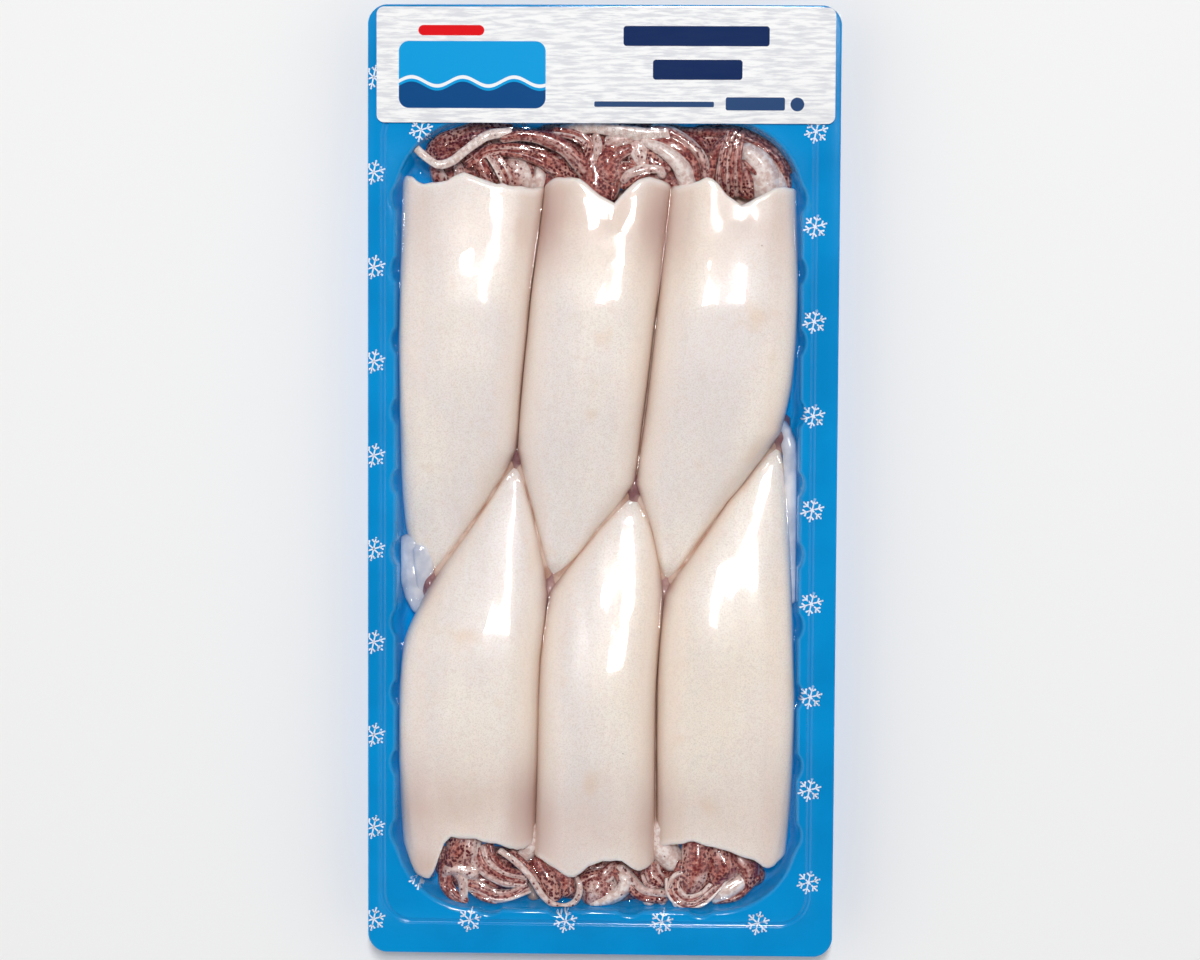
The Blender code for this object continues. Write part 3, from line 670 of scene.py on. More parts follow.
flesh = Finish("squid_flesh_wet", IOR=1.4, Subsurface_Weight=0.22, Subsurface_Radius=(1.0, 0.45, 0.28),
               Subsurface_Scale=2.4 * MM, Coat_Weight=0.35, Coat_Roughness=0.08)
shoulder = flesh.painted("shoulder")
wall_blue_light = flesh.painted("wall_blue_light")
near_mouth = flesh.painted("near_mouth")
clouds = flesh.noise(38.0, 4.0, flesh.stretched((1.0, 0.45, 1.0)))
warmth = flesh.noise(17.0, 2.0, flesh.stretched((1.0, 0.6, 1.0)))
fibres = flesh.noise(420.0, 3.0, flesh.stretched((1.0, 0.16, 1.0)))
smudges = flesh.noise(75.0)
specks, speck_choice = flesh.scattered(150.0)
froth_glints = flesh.scattered(1100.0)[0]
flesh.set(
    Base_Color=flesh.layered(
        flesh.blend(clouds.between(0.35, 0.68), "f3eae7", "fff5ec"),
        (0.5 * warmth.between(0.5, 0.72), "f6e6d2"),
        (0.2 * fibres.between(0.45, 0.8), "e6d9d2"),
        (0.55 * smudges.between(0.6, 0.78), "efd6c0"),
        (0.45 * flesh.noise(2300.0).between(0.42, 0.7), "d8c6bc"),
        (0.3 * flesh.noise(520.0, 3.0).between(0.5, 0.75), "e8d6cd"),
        # Painted shade: the sides of each tube darker towards its seams
        (shoulder * (0.35 + 0.5 * clouds), "ecd6c4"),
        # A darker, warmer band near the mouth, broken up by smudges
        (near_mouth * (0.2 + 0.9 * smudges), "dfc5b8"),
        # Painted shade: the sides darker still near the mouth
        (near_mouth * shoulder, "c3a096"),
        # Painted light: a paler lip at the mouth's edge, for light through the thin flesh
        (0.7 * flesh.painted("rim"), "fbf4f1"),
        # Painted shade: darker and warmer lower down, in the creases between neighbours
        (0.75 * flesh.painted("crease_shade"), "cfa58b"),
        # Near the pits and lower down: partly a juice stain, partly painted shade
        (0.9 * flesh.painted("pit_juice_and_shade"), "a06a64"),
        # Painted light: a blue cast low on the sides against the tray wall, for light from the blue sheet
        (0.7 * wall_blue_light, "b3c5dd"),
        # Painted glints: small white flecks of light along that edge
        (wall_blue_light * ((0.36 - froth_glints) * 6.0).clamped(), "f2f6fb"),
        (0.7 * ((specks < 0.03) * (speck_choice > 0.88)), "5a3a32")),
    Roughness=0.24 + 0.2 * clouds,
    Normal=flesh.bump(fibres, 0.18, 0.15 * MM))


def paint(mesh, name, values):
    """Store one number for each vertex, which the finish reads."""
    attribute = mesh.attributes.new(name, "FLOAT", "POINT")
    attribute.data.foreach_set("value", np.asarray(values, dtype=np.float32))


# Pits where the tubes meet each other or the wall, as (x, y) in millimetres
PITS = ((-51.4, -31.2), (-15.6, -32.2), (18.4, -33.0), (-25.4, 9.2), (9.4, -0.6), (52.4, 15.2))
tube_pieces = {}
for number, tube in TUBES.items():
    tube["height"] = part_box(f"mantle_{number}")[1][2] - TUBE_BOTTOM - 0.25 * MM
    tube_bm = bmesh.new()
    loft(tube_bm, tube_rings(tube))
    bmesh.ops.recalc_face_normals(tube_bm, faces=tube_bm.faces)
    tube_bm.normal_update()
    for vertex in tube_bm.verts:
        lift = smooth_step((vertex.co.z - TUBE_BOTTOM) / (5.0 * MM))
        vertex.co += vertex.normal * flesh_unevenness(vertex.co, number) * lift
        vertex.co = kept_in_well(vertex.co)
    tube_mesh = mesh_from(tube_bm, f"squid_tube_{number}", 80.0)
    marks = {name: [] for name in ("crease_shade", "shoulder", "near_mouth", "rim", "wall_blue_light", "pit_juice_and_shade")}
    outward = math.copysign(1.0, tube["mouth"] - tube["tip"])
    for vertex in tube_mesh.vertices:
        x, y, z = vertex.co
        left, right, height = section_size(tube, y)
        depth = 1.0 - (z - TUBE_BOTTOM) / max(height, 1e-4)
        nearest_pit = min(math.hypot(x - pit_x * MM, y - pit_y * MM) for pit_x, pit_y in PITS)
        wall_side = max(smooth_step((x / MM - 48.0) / 7.0), smooth_step((-x / MM - 50.0) / 7.0))
        aside = abs(2.0 * x - left - right) / (right - left)
        # Painted shade, strongest at the sides towards the seams and weaker against the wall
        marks["shoulder"].append(smooth_step((aside - 0.45) / 0.5) * (1.0 - 0.7 * wall_side))
        from_mouth = abs(y / MM - tube["mouth"])
        past_edge = outward * (y - tube["mouth"] * MM) - lobe_reach(tube, x)
        # Painted light over the last few millimetres of the lip
        marks["rim"].append(smooth_step(1.0 + past_edge / (2.2 * MM)))
        # How strongly each tube darkens in a band near its mouth
        marks["near_mouth"].append(tube["stain"] * math.exp(-((from_mouth - 10.0) / 13.0) ** 2))
        # Painted shade in the creases, not on the side against the wall
        marks["crease_shade"].append(smooth_step((depth - 0.12) / 0.4) * (1.0 - wall_side))
        # Juice stain and painted shade, near the pits and lower down
        near_pit = smooth_step(1.0 - nearest_pit / (9.0 * MM))
        marks["pit_juice_and_shade"].append(near_pit * smooth_step((depth - 0.05) / 0.4))
        # Painted blue light, low on the sides against the wall
        marks["wall_blue_light"].append(wall_side * smooth_step((depth - 0.12) / 0.36))
    for name, values in marks.items():
        paint(tube_mesh, name, values)
    tube_pieces[number] = add_piece(f"squid_tube_{number}", tube_mesh, flesh,
                                    [f"mantle_{number}"])


# ---- Heads and arms: put back into the tubes' mouths with the arms folded out. Reddish-brown
# ---- skin with dense dark colour cells on the outer side, pale flesh on the sucker side, and a
# ---- thin keel along each arm. Each arm is a tapering limb bent along its route.
# Each entry is one arm, or a bundle of arms lying side by side: the share of skin of every arm,
# root and tip radius, flatness and the route from the head outwards, and where they aren't 0 the
# turn of the skin side from straight up and the distance between neighbours at the root; lengths
# in millimetres
ARMS = {1: (
    ((1, 1, 1), 3.9, 3.4, 0.75, ((-21, 93, 5), (-30, 96, 5.5), (-38, 97, 5.5), (-48, 94, 5)), 0, 5.6),
    ((0.9, 1, 0.7), 1.3, 0.8, 0.85, ((-28, 103.5, 5), (-36, 104, 7.5), (-43, 102.5, 8), (-49, 100, 7.5),
        (-52.5, 95, 6)), 30, 1.6),
    (0.55, 2.3, 1.9, 0.8, ((-47.5, 87, 6), (-49, 90.5, 8.5), (-50, 93, 8)), 20),
    (0.3, 1.8, 1.2, 0.8, ((-42, 88, 8), (-42.5, 91.5, 9), (-43, 93.5, 8.5))),
    (0.95, 2.6, 1.3, 0.8, ((-34, 88, 8), (-35.5, 92.5, 9.5), (-38, 96, 9.5), (-40, 97.5, 9))),
    ((0.35, 0.9, 0.5), 0.9, 0.6, 0.9, ((-27.5, 87.5, 8.5), (-29, 91, 11), (-31.5, 95, 11.5),
        (-34.5, 99, 10.5)), -50, 1.6),
    (0.3, 4.1, 3.3, 0.6, ((-25, 87, 7), (-25.5, 91, 9), (-26.5, 94, 8.5)), 40),
    (0.9, 0.9, 0.6, 0.9, ((-22.5, 88, 7), (-21.5, 92, 9), (-24, 96.5, 8.5)), -30),
    (0, 2.3, 1.6, 0.85, ((-19, 87.5, 7), (-19, 90, 8.5), (-19, 92.5, 8))),
), 2: (
    ((1, 1, 1), 4.4, 4, 0.75, ((-18, 94, 6), (-8, 97, 6.5), (2, 97, 6.5), (14, 97, 6.5),
        (25, 94, 6)), 0, 6),
    (1, 5.9, 4.7, 0.75, ((-2, 84, 8), (-2.5, 90, 9), (-3.5, 95, 8.5), (-2.5, 99, 8))),
    (1, 5.6, 3.2, 0.7, ((1, 91, 9.5), (1, 95, 10.5), (2, 98.5, 10))),
    (1, 2.7, 0.9, 0.75, ((1.5, 91, 10), (2.5, 87.5, 11), (2.5, 84.5, 11))),
    (0.95, 2.4, 1.7, 0.8, ((1.5, 94.5, 10.5), (4.5, 97, 11.5), (7.5, 98.5, 11.5)), 10),
    (0.9, 1.8, 1.2, 0.8, ((3, 92, 10.5), (6, 93, 11), (9, 93, 11)), -20),
    (0.15, 2, 1.7, 0.5, ((1.5, 100, 11), (3.5, 101, 11.5), (7, 101.5, 11.5))),
    ((0.7, 0.1), 1.3, 1, 0.9, ((-4, 95, 11), (-3, 99, 11.8), (-3.5, 102, 11)), 0, 2.8),
    (0.85, 2.5, 1.2, 0.85, ((-4, 91, 10), (-7.5, 95.5, 11.5), (-11.5, 99, 12), (-17, 101.5, 12.5),
        (-24, 102.5, 13), (-29.5, 101.5, 13)), -15),
    (0.1, 1.3, 1, 0.95, ((-27.5, 103, 12.8), (-34, 102, 13.5), (-40, 98, 13.5), (-44.5, 94.5, 13.5),
        (-48.5, 93.5, 13.5), (-52, 95.5, 13.5), (-56, 99, 14)), 180),
    ((1, 0.9), 1.7, 0.9, 0.9, ((-10, 90, 9), (-14, 93, 10.5), (-19, 96, 11.5), (-26.5, 98, 11.5),
        (-34, 97.5, 11), (-40, 94, 10)), 10, 2.2),
    ((0.55, 0.8), 1, 0.8, 0.9, ((-3.5, 97, 11), (-5.5, 100.5, 11.5), (-9, 102.5, 11.5),
        (-14.5, 103.5, 10.5)), 60, 1.8),
    (0.4, 1.7, 1.8, 0.9, ((-12.5, 104, 9), (-4, 105, 11.5), (4.5, 104, 12), (12, 103, 12),
        (18, 103, 12)), 150),
    ((0.35, 0.95), 1.5, 1.3, 0.9, ((14, 102.5, 11.5), (19, 102, 12.2), (24, 99, 12.4), (27.5, 95, 12),
        (28.5, 90.5, 10)), 0, 2.9),
    (0, 1.3, 2.7, 0.9, ((11.5, 101, 11.5), (14.5, 99.5, 12.5), (18, 97.5, 13), (22, 94, 12.8),
        (24.5, 89, 10.5))),
    (0.75, 2.4, 1.7, 0.55, ((9, 94.5, 10.5), (12.5, 96.5, 11.2), (14.5, 94.5, 11.5), (18, 93, 11)), -30),
    (0.1, 2.6, 1.8, 0.5, ((9, 99.5, 11), (10.5, 96.5, 11.5), (11, 94, 11))),
    (0.1, 1.2, 1.3, 0.7, ((5.5, 89, 11), (7.5, 91, 12), (11.5, 92.5, 12), (16, 92.5, 12), (17, 91, 11))),
    (0.9, 1.2, 1, 0.8, ((5.5, 87.5, 10.5), (9, 89.5, 11.5), (13, 92, 11.5))),
), 3: (
    ((1, 1, 1), 3.9, 3.4, 0.75, ((26, 95, 5.5), (35, 97, 5.5), (43, 95, 5.5), (50, 90, 5)), 0, 5.6),
    (1, 1.7, 1.3, 0.9, ((34.5, 100, 8), (38, 103.5, 9), (33.5, 103.5, 8.5), (20, 104, 7.5))),
    (0.95, 1.2, 0.8, 0.9, ((25.5, 103, 7), (29, 100.5, 8.5), (31, 96, 9))),
    (1, 1.9, 0.9, 0.85, ((31, 89.5, 8), (31.5, 93.5, 10), (33.5, 99, 11), (38, 103, 11))),
    ((0.5, 1, 0.35, 1, 0.3, 0.9), 0.85, 0.55, 0.95, ((37, 85, 7.5), (36.8, 90, 10.5), (37, 96, 12),
        (38.5, 103, 12)), 0, 1.35),
    (0.9, 2, 0.6, 0.7, ((42.5, 85, 7.5), (42, 90, 10), (40.5, 95, 10.5))),
    (0.8, 0.7, 0.5, 0.9, ((51, 89, 8), (47.5, 89.5, 9), (44, 92, 10.5), (41, 95, 11))),
    (0, 4.7, 2.7, 0.6, ((48, 86, 7), (47.5, 90.5, 9), (46, 94.5, 9.5), (42, 98, 9.5))),
    (0, 2.4, 1.6, 0.6, ((52, 85, 7), (51.5, 89, 8), (49.5, 93, 8.5))),
    (1, 1.2, 0.8, 0.9, ((54, 87.5, 6.5), (53.5, 91, 8), (51, 95.5, 9), (46.5, 99.5, 9), (40, 102.5, 9))),
), 4: (
    (0, 4, 3, 0.8, ((-21.5, -103, 8), (-21.5, -108, 8.5), (-22.5, -111, 8))),
    ((1, 1), 4.2, 3.6, 0.75, ((-45, -113, 5.5), (-41, -116, 5.5), (-34, -117.5, 6),
        (-24, -116, 5.5)), 0, 6),
    (0.95, 4.7, 3.1, 0.75, ((-41.5, -107, 8.5), (-42.5, -110, 9.5), (-44, -113, 9.5))),
    (0.25, 2.9, 2.4, 0.7, ((-39, -106, 9.5), (-39.5, -110, 10.5), (-40, -113, 10))),
    (0.1, 2.4, 1.4, 0.85, ((-37.5, -117, 9.5), (-42, -116, 10), (-45, -116, 10), (-47, -118, 9))),
    (0.1, 1.5, 1.2, 0.85, ((-44, -116.5, 9), (-41.5, -119, 10), (-41, -125, 10))),
    ((0.9, 0.1, 0.8, 0.2), 1.2, 0.8, 0.9, ((-36, -109.5, 9.5), (-34, -114, 10.5), (-29, -117.5, 10.5),
        (-22.5, -119, 10)), 20, 1.9),
    ((1, 0.6, 0.8), 1.1, 0.7, 0.9, ((-47, -110, 8), (-46.5, -115, 9), (-46.5, -120, 9.5),
        (-44, -124, 10), (-40.5, -126, 10.5)), 0, 1.3),
    ((0.35, 0.9, 0.2), 1.1, 0.7, 0.9, ((-41, -120.5, 8.5), (-36.5, -121.5, 9.5), (-31.5, -124, 10),
        (-26.5, -123.5, 10), (-22, -121, 10)), 20, 1.2),
    (0, 0.5, 0.4, 0.9, ((-30.5, -125.5, 10), (-26, -124.5, 10.5), (-21, -122.5, 10.5))),
    (0.7, 1.1, 0.6, 0.9, ((-39, -122.5, 8), (-35.5, -124.5, 10), (-31.5, -126, 10))),
), 5: (
    ((1, 1), 4.2, 3.8, 0.75, ((-21, -113, 5.5), (-12, -118, 5.5), (-2, -119, 6), (8, -119, 6),
        (18, -117, 5.5)), 0, 6),
    (0.05, 0.9, 0.8, 1, ((-30, -110, 11.5), (-25.5, -113, 12.5), (-21, -117.5, 12.5),
        (-17.5, -123, 12.5), (-14, -126, 12), (-10, -126.5, 12), (-7, -124.5, 12), (-6, -121, 11.5),
        (-7, -118.5, 10.5))),
    (0.85, 1.4, 1, 0.9, ((-26.5, -111, 9.5), (-22, -115, 11), (-18.5, -120.5, 11),
        (-17, -123.5, 10.5)), 30),
    ((1, 1), 2.9, 2.6, 0.75, ((-17, -112.5, 9), (-14, -117, 10.5), (-12, -122, 11)), 0, 4.4),
    (0.8, 1.6, 1.3, 0.8, ((-6.5, -120.5, 9), (-3.5, -118, 10), (2.5, -116.5, 9))),
    (0.45, 5.5, 4.3, 0.55, ((-1.5, -118, 7), (-1, -121.5, 9.5), (-1.5, -124, 9.5))),
    (0.6, 2.4, 2, 0.7, ((4, -115, 9), (1.5, -117, 10), (-0.5, -118.5, 10)), -30),
    (0, 1.7, 2, 0.9, ((6.5, -117, 10), (7.5, -119, 11), (5.5, -122.5, 11), (-1.5, -126, 10))),
    ((0.1, 0.95), 1.4, 1.2, 0.9, ((5, -115.5, 9.5), (8.5, -119, 10.5), (12.5, -122.5, 11),
        (19, -123.5, 10)), 20, 2.2),
    (0, 1.8, 1.5, 0.7, ((13, -123, 9), (14.5, -125.5, 9.5))),
    (0, 1.6, 1.3, 0.7, ((17.5, -123.5, 9), (18.5, -125, 9.5))),
    (0.6, 2.4, 2.2, 0.75, ((14.5, -114.5, 9), (15.5, -117.5, 10.5), (17, -119, 10.5))),
    (0.2, 0.5, 0.5, 0.9, ((12.5, -117, 11), (13.5, -119.5, 11.5), (15.5, -120.5, 11.5),
        (18, -119.5, 11))),
), 6: (
    (0, 4.6, 3.4, 0.8, ((18, -103, 8), (18.5, -109, 8.5), (21, -113, 8))),
    ((1, 1), 4.2, 3.8, 0.75, ((24, -115, 5.5), (29, -118, 5.5), (36, -118, 6), (45, -115, 5.5)), 0, 6),
    (1, 5.1, 4.7, 0.7, ((29, -108, 9), (29, -113, 10), (27.5, -118, 10))),
    (1, 4.3, 3.5, 0.7, ((35, -110, 9), (37, -114, 10), (34.5, -117, 10))),
    (1, 3.5, 2, 0.7, ((41, -112, 8.5), (44, -115.5, 9.5), (44, -119.5, 9))),
    (0.9, 2.4, 2, 0.8, ((24, -114, 9), (24.5, -118, 10), (25, -121.5, 10))),
    (0.05, 0.7, 0.6, 1, ((26, -115.5, 11.5), (22, -117, 12), (20.5, -121, 12), (22.5, -126, 11.5))),
    ((0.1, 0.9, 0.2, 0.9, 0), 0.75, 0.55, 1, ((21.5, -118, 11), (22, -122, 11.8), (25.5, -125, 11.8),
        (30, -124, 11.5), (34, -120.5, 11), (37.5, -116.5, 10)), -20, 0.9),
    (0, 2.5, 2, 0.6, ((34, -124, 8.5), (38.5, -121.5, 9.5), (43, -118.5, 9))),
    (0.95, 1, 0.9, 0.9, ((34, -125, 8.5), (38, -124.5, 9.5), (42, -123, 9.5), (47, -118, 9))),
    (0.9, 2.4, 2, 0.7, ((25.5, -121.5, 7), (29, -122, 8), (31.5, -120.5, 8))),
)}
LIMB_SIDES = 24
LIMB_STEP = 0.5
KEEL_TURN = 1.9
KEEL_WIDTH = 0.3
SUCKER_TURN = 0.34
SUCKER_PITCH = 0.95
SWELL = 0.12
SAG = 0.5
TAPER = 1.2
THREE_SIDED = 0.07
KEEL_HEIGHT = 0.25
CUP_CLEARANCE = 1.6


def limb(route, root, tip, flat, roll, aside, seed):
    """Rings along a limb in metres and the sucker places."""
    length = sum((Vector(b) - Vector(a)).length for a, b in zip(route, route[1:]))
    last = len(route) - 1.0
    count = max(int(length / LIMB_STEP), 5)
    # Round caps at both ends, as (place, how far beyond it, share of the radius)
    stations = [(0.0, -0.55, 0.45), (0.0, -0.35, 0.8)]
    stations += [(last * step / count, 0.0, 1.0) for step in range(count + 1)]
    stations += [(last, 0.4, 0.9), (last, 0.75, 0.66), (last, 0.97, 0.24)]
    rings, suckers, passed = [], [], 0.0
    for place, beyond, shrink in stations:
        share = place / last
        ahead = curve_point(route, min(place + 0.04, last))
        behind = curve_point(route, max(place - 0.04, 0.0))
        forward = (ahead - behind).normalized()
        across = forward.cross(Vector((0.0, 0.0, 1.0))).normalized()
        up = across.cross(forward)
        radius = root + (tip - root) * share ** TAPER
        radius *= 1.0 + SWELL * noise.noise(Vector((share * length * 0.22, seed * 3.1, 0.0)))
        centre = curve_point(route, place) + across * aside * radius / root + forward * beyond * radius
        centre.z += SAG * noise.noise(Vector((share * length * 0.15, seed * 7.7, 4.0)))
        ring = []
        for step in range(LIMB_SIDES):
            angle = math.tau * step / LIMB_SIDES
            keel = math.remainder(angle - roll - KEEL_TURN, math.tau)
            reach = radius * shrink * (1.0 + THREE_SIDED * math.cos(3.0 * (angle - roll))
                                       + KEEL_HEIGHT * math.exp(-(keel / KEEL_WIDTH) ** 2))
            point = centre + up * math.cos(angle) * reach * flat - across * math.sin(angle) * reach
            ring.append(kept_in_well(point * MM))
        rings.append(ring)
        passed += length / count
        if shrink == 1.0 and passed > SUCKER_PITCH * radius and share > 0.05:
            passed = 0.0
            for row in (-1.0, 1.0):
                angle = roll + math.pi + row * SUCKER_TURN
                facing = up * math.cos(angle) - across * math.sin(angle)
                seat = up * math.cos(angle) * flat - across * math.sin(angle)
                cup = 0.3 * radius * MM
                place_on = kept_in_well((centre + 0.93 * radius * seat) * MM, CUP_CLEARANCE * cup)
                suckers.append((place_on, facing, cup))
    return rings, suckers


def sucker_tree(material):
    """Geometry nodes that set one small cup, a ring round a sunken disc, on every given point."""
    tree = bpy.data.node_groups.new("sucker_cups", "GeometryNodeTree")
    tree.interface.new_socket("Seats", in_out="INPUT", socket_type="NodeSocketObject")
    tree.interface.new_socket("Geometry", in_out="OUTPUT", socket_type="NodeSocketGeometry")
    graph = Graph(tree)
    seats = graph.node("GeometryNodeObjectInfo", {"Object": graph.node("NodeGroupInput")["Seats"]},
                       "Geometry")
    facing, size = [graph.node("GeometryNodeInputNamedAttribute", {"Name": name}, data_type=kind)
                    for name, kind in (("facing", "FLOAT_VECTOR"), ("size", "FLOAT"))]
    turned = graph.node("FunctionNodeAlignRotationToVector", {"Vector": facing}, "Rotation", axis="Z")
    path = graph.node("GeometryNodeCurvePrimitiveCircle", {"Resolution": 9, "Radius": 0.8})
    round_off = graph.node("GeometryNodeCurvePrimitiveCircle", {"Resolution": 5, "Radius": 0.3})
    rim = graph.node("GeometryNodeCurveToMesh", {"Curve": path, "Profile Curve": round_off})
    bed = graph.node("GeometryNodeMeshCircle", {"Vertices": 9, "Radius": 0.8}, fill_type="NGON")
    set_out = graph.node("GeometryNodeInstanceOnPoints", {
        "Points": seats, "Instance": graph.joined((bed, rim)), "Rotation": turned, "Scale": size})
    graph.end(set_out, material)
    return tree


skin = Finish("squid_skin_wet", IOR=1.4, Coat_Weight=0.3, Coat_Roughness=0.06)
mottle = skin.noise(700.0, 3.0)
patches = skin.noise(180.0)
covered = (skin.painted("pigment") * (0.75 + 0.5 * patches)).clamped()
dotted = 0.02 + 0.95 * covered
strong = 0.65 + 0.35 * patches.between(0.42, 0.6)


def cells(scale, chosen_share, reach, edge):
    """Round colour cells: 1 inside a cell, on a given share of them."""
    away, choice = skin.scattered(scale)
    return ((reach - away) * edge).clamped() * (choice < chosen_share)


pale = skin.blend(mottle.between(0.35, 0.65), "dabdb4", "f7eae5")
ruddy = skin.layered(skin.blend(mottle.between(0.3, 0.7), "8f403a", "c88174"),
                     (0.6 * patches.between(0.5, 0.65), "cf9f91"))
skin.set(
    Base_Color=skin.layered(
        skin.blend(covered, pale, ruddy),
        (0.75 * cells(1300.0, 0.3, 0.3, 9.0), "dcc0aa"),
        (0.45 * cells(1100.0, dotted, 0.5 + 0.16 * covered, 5.0), "983a3a"),
        (strong * cells(1100.0, dotted, 0.4 + 0.14 * covered, 14.0), "5a121c"),
        (0.85 * cells(1700.0, 0.5 * covered, 0.3, 9.0), "551c20")),
    Roughness=0.18 + 0.2 * mottle,
    Normal=skin.bump(mottle, 0.3, 0.2 * MM))

arm_pieces = {}
seats = []
for group, entries in ARMS.items():
    limb_bm = bmesh.new()
    pigments = []
    for index, (shares, root, tip, flat, route, *more) in enumerate(entries):
        roll, spread = (*more, 0, 0)[:2]
        shares = shares if isinstance(shares, tuple) else (shares,)
        for strand, share in enumerate(shares):
            aside = spread * (strand - 0.5 * (len(shares) - 1))
            rings, suckers = limb(route, root, tip, flat, math.radians(roll), aside,
                                  40 * group + 3 * index + strand)
            loft(limb_bm, rings)
            if share < 0.5:
                seats += [seat for seat in suckers if seat[1].z > 0.1]
            for step in range(LIMB_SIDES * len(rings)):
                angle = math.tau * (step % LIMB_SIDES) / LIMB_SIDES - math.radians(roll)
                keel = math.remainder(angle - KEEL_TURN, math.tau)
                coat = smooth_step((0.5 + 0.5 * math.cos(angle) - 0.75 * (1.0 - share)) / 0.4)
                # The keel's crest is left pale: partly its own pale membrane, partly a painted highlight
                # along it
                keel_pale_and_highlight = 1.0 - 0.85 * math.exp(-(keel / KEEL_WIDTH) ** 2)
                streak = noise.noise(Vector((2.4 * math.cos(angle), 2.4 * math.sin(angle), 7.3 * index
                                             + strand + 0.004 * step)))
                strength = 0.35 + 0.65 * share if share else 0.0
                pigments.append(strength * coat * keel_pale_and_highlight * (1.1 + 1.0 * streak))
    limb_mesh = mesh_from(limb_bm, f"squid_arms_{group}", 180.0)
    paint(limb_mesh, "pigment", pigments)
    arm_pieces[group] = add_piece(f"squid_arms_{group}", limb_mesh, skin, [f"arms_{group}"])

seat_mesh = bpy.data.meshes.new("sucker_seats")
seat_mesh.from_pydata([seat[0] for seat in seats], [], [])
seat_mesh.attributes.new("facing", "FLOAT_VECTOR", "POINT").data.foreach_set(
    "vector", [part for seat in seats for part in seat[1]])
paint(seat_mesh, "size", [seat[2] for seat in seats])
seat_object = bpy.data.objects.new("sucker_seats", seat_mesh)
scene.collection.objects.link(seat_object)
cup_finish = Finish("sucker_flesh_wet", Roughness=0.22, Coat_Weight=0.5)
cup_mottle = cup_finish.noise(500.0).between(0.4, 0.6)
cup_finish.set(Base_Color=cup_finish.blend(cup_mottle, "cdb9b2", "e6dbd4"))
cup_mesh = grown_mesh(sucker_tree(cup_finish.material), "squid_suckers", Seats=seat_object)
bpy.data.objects.remove(seat_object, do_unlink=True)
add_piece("squid_suckers", cup_mesh, cup_finish)


# ---- Scraps: torn membrane in the pits, strands of it under the seams, and remnants of the fins
# ---- pressed between the tubes' tips and the tray wall. Purplish, tan or watery white tissue.
# Each remnant of a fin: its radius in the middle and its route, in millimetres
FINS = (
    (3.9, ((-57, -18, 6), (-57.2, -25, 6), (-56.2, -31, 6), (-54.2, -37, 5.5))),
    (3.0, ((-53.4, -20, 7.5), (-53.2, -27, 7.5), (-53, -31, 7))),
    (2.2, ((49.5, 17, 8), (53, 16.5, 8.5), (55.2, 10, 8.5), (55.8, -8, 8), (56.1, -34, 7.5))),
)
membrane = Finish("squid_membrane_wet", IOR=1.4, Coat_Weight=0.5, Coat_Roughness=0.05)
tinted = membrane.painted("pigment")
curd = membrane.noise(450.0, 3.0)
veiling = membrane.noise(150.0, 3.0).between(0.35, 0.65)
watery = membrane.blend(veiling, "c3c7d6", "e9e7ec")
tan = membrane.blend(veiling, "b98f7b", "dcc0b0")
purple = membrane.blend(veiling, "8a585c", "c49f9a")
tissue = membrane.blend(tinted.between(0.0, 0.5), watery, tan)
membrane.set(Base_Color=membrane.blend(tinted.between(0.5, 1.0), tissue, purple),
             Roughness=0.12 + 0.2 * curd, Normal=membrane.bump(curd, 0.4, 0.4 * MM))
scrap_bm = bmesh.new()
tints = []
# Each scrap: its root and tip radius, flatness, turn, seed, tint and route
scraps = [(2.6, 2.6, 0.8, 0.0, int(x), 1.0, ((x, y + 4.5, 5), (x, y, 7.5), (x, y - 4.5, 5)))
          for x, y in PITS]
scraps += [(2.3, 2.3, 0.8, 0.0, int(points[0][0]), 0.5, [(x, y, 6) for x, y in points])
           for name, points in SEAMS.items() if "seam" in name]
scraps += [(radius, 0.8 * radius, 0.75, 0.6 + 3.0 * index, index, 0.0, route)
           for index, (radius, route) in enumerate(FINS)]
for root, tip, flat, roll, seed, tint, route in scraps:
    rings, _ = limb(route, root, tip, flat, roll, 0.0, seed)
    loft(scrap_bm, rings)
    tints += [tint] * (LIMB_SIDES * len(rings))
scrap_mesh = mesh_from(scrap_bm, "squid_scraps", 180.0)
paint(scrap_mesh, "pigment", tints)
scrap_piece = add_piece("squid_scraps", scrap_mesh, membrane)


# ---- Film: one clear sheet, heated and drawn down over the filled tray by vacuum. It lies on the
# ---- flesh, bridges the narrow gaps, dips to the tray walls and is sealed flat to the flange.
film_low, film_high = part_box("film")
FILM_COLUMNS = 186
FILM_ROWS = 376
FILM_GAP = 0.12 * MM
FILM_PULL = 0.11 * MM
FILM_ROUNDS = 420
RAY_START = 50.0 * MM
MOST_SHINE = 0.16
WELDED_SHINE = 0.08


def covered_tree(pieces):
    """One search tree over the upper faces of everything the film is drawn over."""
    points, faces = [], []
    for piece in pieces:
        base = len(points)
        points += [vertex.co.copy() for vertex in piece.data.vertices]
        faces += [[base + index for index in face.vertices] for face in piece.data.polygons]
    return BVHTree.FromPolygons(points, faces)


film_tree = covered_tree([tray_piece, *tube_pieces.values(), *arm_pieces.values(), scrap_piece])
film_x = np.linspace(film_low[0], film_high[0], FILM_COLUMNS)
film_y = np.linspace(film_low[1], film_high[1], FILM_ROWS)
support = np.full((FILM_ROWS, FILM_COLUMNS), FLANGE_TOP)
for row, y in enumerate(film_y):
    for column, x in enumerate(film_x):
        hit = film_tree.ray_cast(Vector((x, y, RAY_START)), Vector((0.0, 0.0, -1.0)))
        if hit[0] is not None:
            support[row, column] = hit[0].z
support += FILM_GAP
